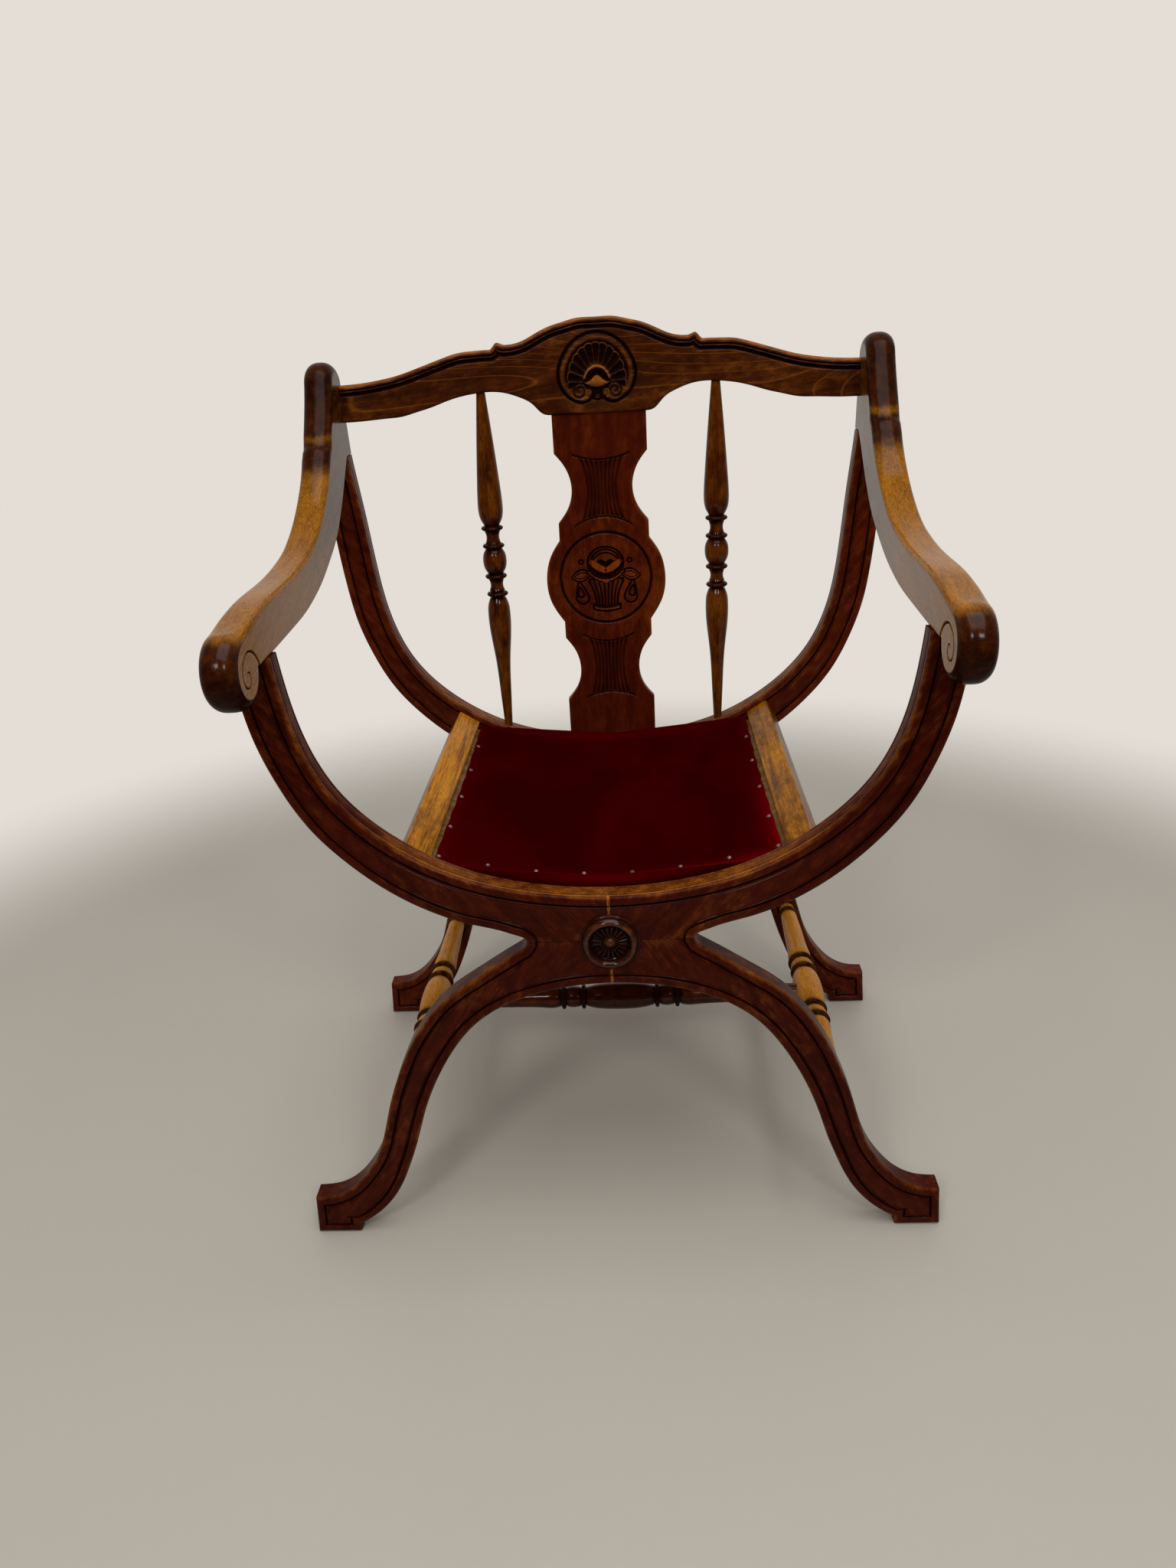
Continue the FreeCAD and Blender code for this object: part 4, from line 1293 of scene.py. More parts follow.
@dataclass
class CrestRail:
    """The arched top rail with its moulded upper edge and a carved scallop shell."""

    thickness: float = 18.0
    peak: float = 929.0
    end_top: float = 870.0
    end_foot: float = 829.0
    arch: float = 25.5
    corner: float = 2.6
    lip: float = 3.4
    top_steps: tuple = (0.0, 0.2, 0.6, 1.3, 2.2, 3.1)
    foot_steps: tuple = (0.0, 0.2, 0.6, 1.3, 2.4, 4.0)
    moulding: tuple = ((5.9, 1.4, 1.6, 1.6, 1.4), (10.3, 3.0, 2.9, 3.0, 2.0))
    shell_foot: float = 859.0
    fan_width: float = 35.0
    fan_height: float = 44.5
    fan_sag: float = 0.24
    lobes: int = 13
    coils: tuple = ((20.5, -9.0, 8.4, 0.1), (10.6, -11.0, 4.3, 0.7), (0.0, -15.6, 2.9, 0.1))
    ring_half: tuple = ((0, 913.2), (17, 909.4), (30.5, 900), (40, 886), (44.6, 872), (43.2, 858),
                        (37.5, 848), (28, 840.5), (17.5, 837.6), (9.6, 840.2), (5.4, 845))
    top_shares: tuple = ((0, 1), (0.070, 0.995), (0.120, 0.941), (0.173, 0.873), (0.233, 0.746),
                         (0.292, 0.619), (0.326, 0.585))
    notch_shares: tuple = ((0.352, 0.581), (0.380, 0.636), (0.403, 0.508))
    shoulder_shares: tuple = ((0.438, 0.508), (0.482, 0.500), (0.528, 0.483), (0.588, 0.407),
                              (0.648, 0.314), (0.708, 0.220), (0.764, 0.141), (0.841, 0.068),
                              (0.900, 0.029), (1, 0))
    under_shares: tuple = ((0.189, -0.137), (0.209, -0.098), (0.254, 0.373), (0.304, 0.706),
                           (0.359, 0.922), (0.415, 1), (0.475, 0.961), (0.532, 0.863),
                           (0.591, 0.686), (0.648, 0.471), (0.714, 0.275), (0.764, 0.137),
                           (0.834, 0.078), (0.917, 0.020), (1, 0))

    def top_line(self) -> Line:
        """The upper edge of the right half: peak, notch and shoulder.

        Returns:
            The line.
        """
        span = (PLAN.gap_rear, self.peak - self.end_top)
        peak, notch, shoulder = (np.array(shares) * span + (0.0, self.end_top) for shares in
                                 (self.top_shares, self.notch_shares, self.shoulder_shares))
        return Line(np.concatenate([spline(peak, 1.5, (1.0, 0.0)), notch, spline(shoulder, 1.5)]))

    def under_line(self) -> Line:
        """The lower edge of the right half: level over the splat, then arched."""
        span = (PLAN.gap_rear, self.arch)
        curve = spline(np.array(self.under_shares) * span + (0.0, self.end_foot), 1.5)
        return Line(np.concatenate([[(0.0, curve[0, 1])], curve]))

    def shell(self, across: Array, up: Array) -> Relief:
        """The carved scallop shell.

        An egg-shaped groove rings it, with a rim and a sunk moat inside. A fan of hollow flutes
        spreads from the hinge, each a rounded trough between two thin ridges, with a scalloped
        lip. An arch, a boss, two coils, two knobs and a bud fill the foot.

        Args:
            across: distance from the middle of the rail.
            up: height.

        Returns:
            The relief.
        """
        half = spline(np.array(self.ring_half), 1.0, (1.0, 0.0))
        ring = Line(np.concatenate([half, half[::-1] * (-1.0, 1.0)]))
        inside = -ring.offset(np.stack([across, up], -1))
        side, rise = np.abs(across), up - self.shell_foot
        carving = Relief(across.shape)
        # The sunk moat, the ring's groove, the flutes' troughs, the hollows round the arch and the
        # boss, and the coils' grooves are darkened: painted shade with old polish.
        carving.sink(inside - 7.6, 2.4, 1.4, 0.92)
        carving.cut(inside, 2.5, 2.8)
        carving.tone = 0.35 * np.exp(-((inside - 4.8) / 1.8) ** 2)
        tall = np.where(rise > 0.0, self.fan_height, self.fan_width)
        reach = np.hypot(side / self.fan_width, rise / tall)
        turn = np.arctan2(rise / tall, side / self.fan_width)
        lobe = (math.pi / 2 - turn) / (math.pi / 2 + self.fan_sag) * self.lobes / 2
        place = 2.0 * np.abs((lobe + 0.5) % 1.0 - 0.5)
        fan = (0.94 + 0.06 * np.sqrt(1.0 - place ** 2) - reach) * 36.0
        fan = np.minimum(fan, (turn + self.fan_sag) * 30.0)
        trough = (1.0 - place ** 2.4) * ease(reach, 0.36, 0.62)
        carving.lay(fan, 0.7 + 2.4 * trough, 0.0, 1.0, 0.0, 0.45 + 0.5 * ease(trough, 0.1, 0.6))
        lip = ease(fan, -0.3, 0.4) * (1.0 - ease(fan, 1.0, 2.4))
        carving.deep = carving.deep * (1.0 - lip) + 0.1 * lip
        carving.shade_and_soil = carving.shade_and_soil * (1.0 - 0.8 * lip)
        carving.tone = np.maximum(carving.tone, 0.5 * lip)
        dome = np.hypot(side / 15.3, (rise + 1.0) / 18.4)
        carving.sink(1.0 - dome + 0.04, 3.2, 0.05, 0.97)
        arch = 1.5 - np.abs(dome - 1.0) * 16.5
        carving.lay(np.minimum(arch, rise - 4.0), 1.0, 1.2, 1.4, 0.85)
        cap = 7.4 * np.exp(-(side / 7.2) ** 2) + 0.8 - 0.05 * side
        boss = np.minimum(cap - rise, rise + 4.8 * (1.0 - (side / 15.0) ** 2))
        carving.sink(np.minimum(boss + 1.6, 16.5 - side), 3.0, 0.8, 0.95)
        carving.lay(np.minimum(boss, 14.6 - side), 1.0, 2.2, 3.4, 1.0)
        for middle, height, size, tone in self.coils:
            apart = np.hypot(side - middle, rise - height)
            wind = np.arctan2(rise - height, side - middle)
            wave = 0.5 + 0.5 * np.cos(2.0 * math.pi * apart / (size * 0.62) - wind)
            carving.lay(size - apart, 1.6 - 1.2 * wave, 0.4, 2.0, tone, 0.85 - 0.6 * wave)
        return carving

    def build(self) -> Piece:
        """Makes the rail: a grid over its outline for the face, flat behind, and closed edges.

        Columns run up from the lower to the upper edge. Each point's distance from the upper edge
        sets the moulding: a rounded lip, a groove, a bead and a second groove. Each groove has a
        place, half width and depth, and then a half width and strength for its painted shade and
        old polish.

        Returns:
            The crest rail.
        """
        top, under = self.top_line(), self.under_line()
        fine = np.linspace(-56.0, 56.0, 165)
        coarse = np.linspace(56.0, PLAN.gap_rear + 0.5, 150)[1:]
        columns = np.concatenate([-coarse[::-1], fine, coarse])
        reach = np.clip(np.abs(columns), 0.0, PLAN.gap_rear)
        head = np.interp(reach, top.points[:, 0], top.points[:, 1])
        foot = np.interp(reach, under.points[:, 0], under.points[:, 1])
        drop = np.concatenate([self.top_steps, np.arange(3.6, 14.6, 0.42)])
        rise = np.array(self.foot_steps)
        tall = (head - foot)[:, None]
        body = np.linspace(0.0, 1.0, 102)[None, 1:-1]
        tilt = np.minimum(np.hypot(1.0, np.gradient(head, columns)), 1.4)[:, None]
        start, stop = rise[-1] / tall, 1.0 - drop[-1] * tilt / tall
        share = beside(rise / tall, start + (stop - start) * body, 1.0 - drop[::-1] * tilt / tall)
        up = foot[:, None] + tall * share
        across = np.repeat(columns[:, None], up.shape[1], 1)
        spots = np.stack([np.abs(across), up], -1)
        below = np.maximum(-top.offset(spots), 0.0)
        above = np.maximum(np.where(np.abs(across) < 57.0, up - foot[:, None],
                                    under.offset(spots)), 0.0)
        depth = np.maximum(round_over(below, self.lip), round_over(above, self.corner))
        # Painted shade and old polish in the moulding's grooves.
        groove_shade_and_soil = 0.0
        for place, half, deep, wide, dark in self.moulding:
            depth = depth + hollow(below, place, half, deep)
            groove_shade_and_soil = groove_shade_and_soil + hollow(below, place, wide, dark)
        shell = self.shell(across, up)
        shade_and_soil = np.maximum(np.clip(groove_shade_and_soil, 0, 0.96), shell.shade_and_soil)
        front = PLAN.back_middle - self.thickness / 2
        face = np.stack([across, front + depth + shell.deep, up], -1)
        eased = np.maximum(round_over(below, 2.0), round_over(above, 2.0))
        rear = np.stack([across, front + self.thickness - eased, up], -1)[:, ::-1][:, ::4]
        tone = 0.12 + 0.45 * np.exp(-(np.maximum(below - 1.0, 0.0) / 1.8) ** 2)
        plank = Board((1.0, 0.0, 0.12), (-0.12, 0.0, 1.0), (40.0, 10.0, 0.0))
        return Skin.carved(face, rear, np.maximum(tone, shell.tone), shade_and_soil).finish(
            "crest_rail_carved", CREST_WOOD, "carved_wood", ["crest_rail"], grain=plank)


@dataclass
class BackSplat:
    """The shaped middle board: a basket of fruit in a ring, between two fluted panels."""

    thickness: float = 12.0
    half_width: float = 73.5
    head: float = 835.5
    foot: float = 407.5
    corner: float = 2.2
    ring_centre: float = 631.0
    ring_radius: float = 56.0
    ring_groove: tuple = (2.5, 2.6)
    edge_steps: tuple = (0.0, 0.15, 0.45, 0.9, 1.5, 2.4, 3.6)
    stops: tuple = (470.0, 572.0, 690.0, 785.0)
    counts: tuple = (20, 96, 190, 90, 18)
    low_flutes: tuple = ((483.0, -6.0), (550.5, 7.6), (517.0, 19.3, 5.6))
    high_flutes: tuple = ((706.0, -8.0), (772.6, 5.2), (738.0, 18.8, 7.6))
    flute_count: int = 9
    leaf_middle: float = 30.5
    bloom_height: float = 18.5
    drops: tuple = (((33.5, -4.0), (30.0, -24.0), 8.0), ((33.0, -11.0), (31.8, -20.0), 3.8))
    neck_shares: tuple = ((0.755, 0.892), (0.633, 0.865), (0.517, 0.818), (0.503, 0.777),
                          (0.592, 0.728), (0.745, 0.691))
    cheek_shares: tuple = ((0.748, 0.639), (0.912, 0.593), (1, 0.524), (0.946, 0.455),
                           (0.741, 0.391))
    waist_shares: tuple = ((0.741, 0.340), (0.592, 0.301), (0.510, 0.239), (0.585, 0.180),
                           (0.755, 0.139))

    def edge_line(self) -> Line:
        """The right edge from head to foot: neck, round cheek and waist.

        Returns:
            The line.
        """
        rise = self.head - 10.0 - PLAN.seat_dip
        neck, cheek, waist = (spline(np.array(shares) * (self.half_width, rise)
                                     + (0.0, PLAN.seat_dip), 1.5)
                              for shares in (self.neck_shares, self.cheek_shares,
                                             self.waist_shares))
        return Line(np.concatenate([[(neck[0, 0], self.head)], neck, cheek, waist,
                                    [(waist[-1, 0], self.foot)]]))

    def flutes(self, across: Array, up: Array, low: tuple, high: tuple, waist: tuple
               ) -> tuple[Array, Array]:
        """An hourglass of upright hollows between two arched caps.

        The panel's half width grows with the square of the height from its waist. A sine over
        the share of that width makes the hollows, and each cap is a groove along a parabola.

        Args:
            across: distance from the middle of the board.
            up: height.
            low: height and bow of the lower cap.
            high: height and bow of the upper cap.
            waist: height, least half width and how fast it widens.

        Returns:
            Depth and soil.
        """
        floor = low[0] + low[1] * (across / 30.0) ** 2
        roof = high[0] + high[1] * (across / 30.0) ** 2
        half = waist[1] + waist[2] * ((up - waist[0]) / 35.0) ** 2
        share = across / half
        within = ease(1.0 - np.abs(share), -0.01, 0.05) * ease(up - floor, 0.0, 2.5) * ease(
            roof - up, 0.0, 2.5)
        ends = ease(up - floor, 1.0, 13.0) * 0.45 + ease(roof - up, 1.0, 13.0) * 0.45
        wave = (0.5 - 0.5 * np.cos(math.pi * self.flute_count * (share + 1.0))) ** 0.8
        depth = within * (0.35 + (2.0 - 1.1 * ends) * wave)
        wide = np.abs(across) < half + 5.0
        caps = np.maximum(hollow(up - floor, 0.0, 1.7, 2.0), hollow(up - roof, 0.0, 1.7, 2.0))
        depth = np.maximum(depth, caps * wide)
        # The deeper the flute, the darker: painted shade with old polish.
        return depth, np.clip(depth * 0.50, 0.0, 0.92)

    @staticmethod
    def pear(side: Array, rise: Array, stalk: tuple, belly: tuple, size: float) -> Array:
        """Distance inside a hanging drop: a line from stalk to belly that thickens to a size.

        Args:
            side: distance from the middle of the board.
            rise: height over the ring's centre.
            stalk: where the drop hangs.
            belly: the middle of its wide end.
            size: half its greatest width.

        Returns:
            The distances.
        """
        way = np.subtract(belly, stalk)
        share = ((side - stalk[0]) * way[0] + (rise - stalk[1]) * way[1]) / float(way @ way)
        share = np.clip(share, 0.0, 1.0)
        miss = np.hypot(side - stalk[0] - share * way[0], rise - stalk[1] - share * way[1])
        return 0.6 + (size - 0.6) * share ** 0.8 - miss

    def basket(self, across: Array, up: Array) -> Relief:
        """A ribbed vase with a collar and one big bloom, two leaves, berries and hanging drops.

        Each form is an ellipse, a band between two parabolas or a pear. It is laid over the
        ground like a cushion, and gouged round.

        Args:
            across: distance from the middle of the board.
            up: height.

        Returns:
            The relief.
        """
        side, rise = np.abs(across), up - self.ring_centre
        bowed = side ** 2
        carving = Relief(across.shape)
        stem = np.clip((rise + 34.0) / 28.0, 0.0, 1.0)
        wall = 13.2 + 7.4 * stem ** 2.2
        vase = np.minimum(wall - side, np.minimum(rise + 36.0, -1.5 - rise))
        carving.lay(vase, 0.8, 0.9, 3.0, 0.0, 0.35)
        carving.cut(vase, 1.7, 2.3)
        rib = (side / wall * 3.5 + 0.5) % 1.0 - 0.5
        carving.cut((0.5 - np.abs(rib)) * wall / 3.5, 1.3, 1.9, ease(vase, 0.6, 2.0))
        foot = np.minimum(3.0 - np.abs(rise + 39.0 - 0.010 * bowed), 16.6 - side)
        carving.lay(foot, 0.5, 1.0, 2.6, 0.3)
        carving.cut(foot, 1.7, 2.4)
        carving.cut(rise + 38.0 - 0.010 * bowed, 0.9, 1.2, ease(foot, 0.3, 1.0))
        out = side - self.leaf_middle
        leaf = 7.2 * (1.0 - (out / 12.0) ** 2) - np.abs(rise - 3.4 + 0.16 * out)
        leaf = np.minimum(leaf, (side - 17.5) * 0.8)
        carving.lay(leaf, 0.4, 1.2, 5.0, 0.2)
        carving.cut(leaf, 1.6, 2.3)
        carving.cut(leaf - 3.6, 1.0, 1.3)
        carving.cut(2.7 - np.hypot(side - 29.9, rise - 20.6), 1.2, 1.7)
        for drop in self.drops:
            carving.cut(self.pear(side, rise, *drop), 1.6, 2.1)
        collar = rise + 6.4 - 0.024 * bowed - 1.1 * np.abs(np.cos(side * 0.62))
        collar = np.minimum(np.minimum(collar, 23.5 - side), 9.0 - rise)
        carving.lay(collar, 0.4, 0.8, 2.4, 0.3)
        carving.cut(collar, 1.4, 2.2, ease(side, 3.0, 6.0))
        high = rise - self.bloom_height
        bloom = (1.0 - np.hypot(side / 21.8, high / 19.6)) * 20.0
        carving.lay(bloom, 0.6, 1.4, 9.0, 0.05)
        carving.cut(bloom, 1.7, 2.4)
        for drop, reach in ((1.6, 18.6), (4.6, 17.4)):
            petal = np.hypot(side / reach, (high + drop) / (reach - 0.6)) - 1.0
            carving.cut(petal * 17.0, 1.4, 2.1, ease(rise, 19.0, 24.0))
        crescent = np.minimum(6.4 + 0.030 * bowed - rise, rise + 1.4 - 0.030 * bowed)
        carving.sink(np.minimum(crescent, 22.0 - side), 2.6, 1.4, 0.97)
        brow = 21.6 + 1.6 * np.cos((side - 6.0) * 0.42)
        carving.sink(np.minimum(brow - rise, rise - 11.6 - 0.72 * side), 2.8, 1.3, 0.97)
        petal = np.minimum.reduce([rise - 6.8 - 0.026 * bowed, 11.6 + 0.66 * side - rise,
                                   17.6 - side])
        carving.lay(petal, 0.2, 1.3, 3.4, 0.5 + 0.2 * (across < 0.0))
        carving.cut(side, 1.3, 1.8, ease(petal, 0.2, 1.0))
        return carving

    def build(self) -> Piece:
        """Makes the board: rows across it from foot to head, carved in front, flat behind.

        Returns:
            The back splat.
        """
        edge = self.edge_line()
        stops = (self.foot, *self.stops, self.head)
        rows = np.concatenate([np.linspace(low, high, count)[1:] for low, high, count in
                               zip(stops[:-1], stops[1:], self.counts)])
        rows = np.concatenate([[self.foot], rows])
        order = np.argsort(edge.points[:, 1])
        half = np.interp(rows, edge.points[order, 1], edge.points[order, 0])[:, None]
        ends = np.array(self.edge_steps)
        even = np.linspace(-1.0, 1.0, 158)[None, 1:-1]
        body = even * (0.64 + 0.36 * even ** 2)
        inner = half - ends[-1]
        across = beside(-half + ends, inner * body, half - ends[::-1])
        up = np.repeat(rows[:, None], across.shape[1], 1)
        spots = np.stack([np.abs(across), up], -1)
        inside = np.maximum(-edge.offset(spots), 0.0)
        inside = np.where(np.abs(across) >= half - 1e-6, 0.0, inside)
        depth = round_over(inside, self.corner)
        ring = np.hypot(across, up - self.ring_centre) - self.ring_radius
        groove = hollow(ring, 0.0, *self.ring_groove)
        flute_low = self.flutes(across, up, *self.low_flutes)
        flute_high = self.flutes(across, up, *self.high_flutes)
        basket = self.basket(across, up)
        within = ease(-ring, 3.0, 5.0)
        carved = groove + flute_low[0] + flute_high[0] + basket.deep * within
        # Painted shade and old polish in the ring groove, the flutes and the basket's cuts and
        # hollows.
        shade_and_soil = np.clip(groove * 0.5 + flute_low[1] + flute_high[1] + basket.shade_and_soil * within, 0, 0.96)
        front = PLAN.back_middle - self.thickness / 2
        face = np.stack([across, front + depth + carved, up], -1)
        rear = np.stack([across, front + self.thickness - round_over(inside, 1.6), up], -1)
        rear = rear[:, ::-1][:, np.r_[0:7, 7:-7:12, -7:0]]
        # Paler about the basket's height, darker towards the head under the crest and towards the
        # foot: painted light and shade.
        bright = 0.30 * np.exp(-((up - 640.0) / 75.0) ** 2)
        tone = 0.04 + bright + 0.30 * np.exp(-(inside / 3.0) ** 2) + basket.tone * within
        plank = Board((0.03, 0.0, 1.0), (1.0, 0.0, -0.03), (15.0, 25.0, 0.0))
        return Skin.carved(face, rear, tone, shade_and_soil).finish(
            "back_splat_carved", SPLAT_WOOD, "carved_wood", ["back_splat"], grain=plank)


@dataclass
class Turning:
    """A piece turned on a lathe: smooth bodies, necks and round beads, burnt dark at its cuts.

    Stations and radii are real sizes along the axis from one end.
    """

    node: str
    start: tuple
    way: tuple
    bodies: list
    beads: list
    neck: float
    look: StainedWood
    tone: float
    around: int = 56
    bead_half: float = 3.0
    burn: float = 0.85
    burn_run: tuple = (2.4, 9.0)

    def profile(self) -> tuple[Array, Array]:
        """Stations and radii: the widest of the neck, the bodies and the beads at each station.

        A body is a smooth line through its points, and a bead is half an ellipse on the neck.

        Returns:
            The stations and the radii.
        """
        first, last = self.bodies[0][0][0], self.bodies[-1][-1][0]
        near = [centre + np.linspace(-1.0, 1.0, 19) * self.bead_half * 1.05
                for centre, _ in self.beads]
        ends = [np.array([body[0][0] - 0.02, body[0][0], body[-1][0], body[-1][0] + 0.02])
                for body in self.bodies]
        place = np.unique(np.concatenate([np.arange(first, last, 2.0), [last], *near, *ends]))
        place = place[(place >= first) & (place <= last)]
        radius = np.full(len(place), self.neck)
        for body in self.bodies:
            curve = spline(np.array(body), 1.0)
            inside = (place >= curve[0, 0]) & (place <= curve[-1, 0])
            radius = np.where(inside, np.interp(place, curve[:, 0], curve[:, 1]), radius)
        for centre, crown in self.beads:
            reach = 1.0 - ((place - centre) / self.bead_half) ** 2
            radius = np.where(reach > 0, np.maximum(
                radius, self.neck + (crown - self.neck) * np.sqrt(np.clip(reach, 0, 1))), radius)
        return place, radius

    def build(self) -> Piece:
        """Carries the profile once round the axis.

        Returns:
            The turned piece.
        """
        place, radius = self.profile()
        turn = np.linspace(0.0, 2 * math.pi, self.around, endpoint=False)
        axis = np.asarray(self.way, float)
        other = np.array([0.0, 0.0, 1.0]) if abs(axis[2]) < 0.5 else np.array([1.0, 0.0, 0.0])
        third = np.cross(axis, other)
        ring = np.cos(turn)[:, None] * other + np.sin(turn)[:, None] * third
        spots = (np.asarray(self.start) + place[:, None, None] * axis
                 + radius[:, None, None] * ring[None])
        burnt = np.zeros(len(place))
        for centre, _ in self.beads:
            near = 1.0 - ease(np.abs(place - centre), *self.burn_run)
            burnt = np.maximum(burnt, self.burn * near)
        slope = np.abs(np.gradient(radius, place))
        worn = self.tone * (1.0 - 0.5 * ease(slope, 0.12, 0.6)) * (1.0 - burnt)
        worn, burnt = (np.broadcast_to(values[:, None], spots.shape[:-1])
                       for values in (worn, burnt * 0.75))
        plank = Board(self.way, tuple(other), (17.0, 33.0, 5.0))
        return Skin.closed(spots, worn, burnt).finish(self.node + "_turned", self.look,
                                                      "turned_wood", [self.node], grain=plank,
                                                      crease=50.0)


@dataclass
class Turnings:
    """The five lathe-turned pieces: two back spindles, two side stretchers and the cross one."""

    spindle_reach: float = 137.0
    spindle_radius: float = 14.9
    stretcher_reach: float = 231.0
    stretcher_height: float = 155.0
    stretcher_radius: float = 17.5
    cross_radius: float = 16.5
    rings: tuple = ((0.204, 0.93), (0.315, 0.93))
    end_ring: tuple = (0.93, 0.70)
    spindle_rings: tuple = ((0.4275, 0.88), (0.4785, 0.90), (0.5645, 0.90), (0.614, 0.90))
    lower_vase: tuple = ((0.0, 0.30), (0.065, 0.38), (0.124, 0.46), (0.182, 0.53), (0.24, 0.65),
                         (0.299, 0.84), (0.346, 0.94), (0.372, 0.94), (0.398, 0.86),
                         (0.416, 0.66))
    spool: tuple = ((0.4385, 0.64), (0.448, 0.54), (0.460, 0.54), (0.4705, 0.64))
    knop: tuple = ((0.4865, 0.62), (0.500, 0.86), (0.524, 0.98), (0.546, 0.86), (0.5575, 0.64))
    waist: tuple = ((0.5715, 0.64), (0.583, 0.54), (0.595, 0.54), (0.6055, 0.64))
    upper_vase: tuple = ((0.6225, 0.62), (0.634, 0.82), (0.650, 0.97), (0.668, 1.02),
                         (0.690, 1.01), (0.7425, 0.91), (0.797, 0.79), (0.852, 0.66),
                         (0.907, 0.52), (0.96, 0.38), (1.0, 0.29))
    bulb: tuple = ((0.0, 1.0), (0.06, 0.985), (0.12, 0.92), (0.165, 0.80), (0.185, 0.72))
    cove: tuple = ((0.222, 0.72), (0.25, 0.79), (0.272, 0.79), (0.296, 0.72))
    taper: tuple = ((0.335, 0.72), (0.36, 0.80), (0.42, 0.79), (0.62, 0.70), (0.86, 0.62),
                    (1.0, 0.58))

    def spindle(self, side: Side) -> Piece:
        """One spindle: two vases about a ringed bulb.

        Args:
            side: the hand of the chair.

        Returns:
            The spindle.
        """
        node = side.word + "_spindle"
        foot, head = (spot.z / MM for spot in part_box(node))
        tall, widest = head - foot, self.spindle_radius
        *bodies, beads = ([(tall * a, widest * r) for a, r in shares] for shares in
                          (self.lower_vase, self.spool, self.knop, self.waist, self.upper_vase,
                           self.spindle_rings))
        return Turning(node, (side.value * self.spindle_reach, PLAN.back_middle, foot),
                       (0.0, 0.0, 1.0), bodies, beads, widest * 0.56, SPINDLE_WOOD, 0.42).build()

    def stretcher(self, node: str, start: tuple, way: tuple, length: float, radius: float,
                  look: StainedWood, tone: float, rings: tuple) -> Piece:
        """A stretcher alike both ways from its middle bulb, with beads on each side.

        Args:
            node: the CAD node that it replaces.
            start: where its axis starts.
            way: the axis's direction.
            length: its length.
            radius: its widest radius.
            look: its wood.
            tone: how rubbed it is.
            rings: places and sizes of the beads on one half.

        Returns:
            The stretcher.
        """
        half = length / 2
        runs = [[(half * a, radius * r) for a, r in shares]
                for shares in (self.bulb, self.cove, self.taper, rings)]
        left, right = ([[(half + sign * a, r) for a, r in run[::sign]] for run in runs]
                       for sign in (-1, 1))
        bodies = [left[2], left[1], left[0][:-1] + right[0], right[1], right[2]]
        return Turning(node, start, way, bodies, left[3] + right[3], radius * 0.66, look,
                       tone).build()

    def build(self) -> None:
        """Makes all five, the stretchers' ends a little inside the pieces that hold them."""
        inner = PLAN.front_face + PLAN.timber - 1.0
        run = PLAN.rear_face - inner + 1.0
        for side in Side:
            self.spindle(side)
            self.stretcher(side.word + "_side_stretcher",
                           (side.value * self.stretcher_reach, inner, self.stretcher_height),
                           (0.0, 1.0, 0.0), run, self.stretcher_radius, STRETCHER_WOOD, 0.85,
                           (*self.rings, self.end_ring))
        reach = self.stretcher_reach - self.stretcher_radius * 0.5
        middle = (PLAN.front_face + PLAN.rear_face + PLAN.timber) / 2
        self.stretcher("cross_stretcher", (-reach, middle, self.stretcher_height),
                       (1.0, 0.0, 0.0), 2 * reach, self.cross_radius, SPINDLE_WOOD, 0.15,
                       self.rings)


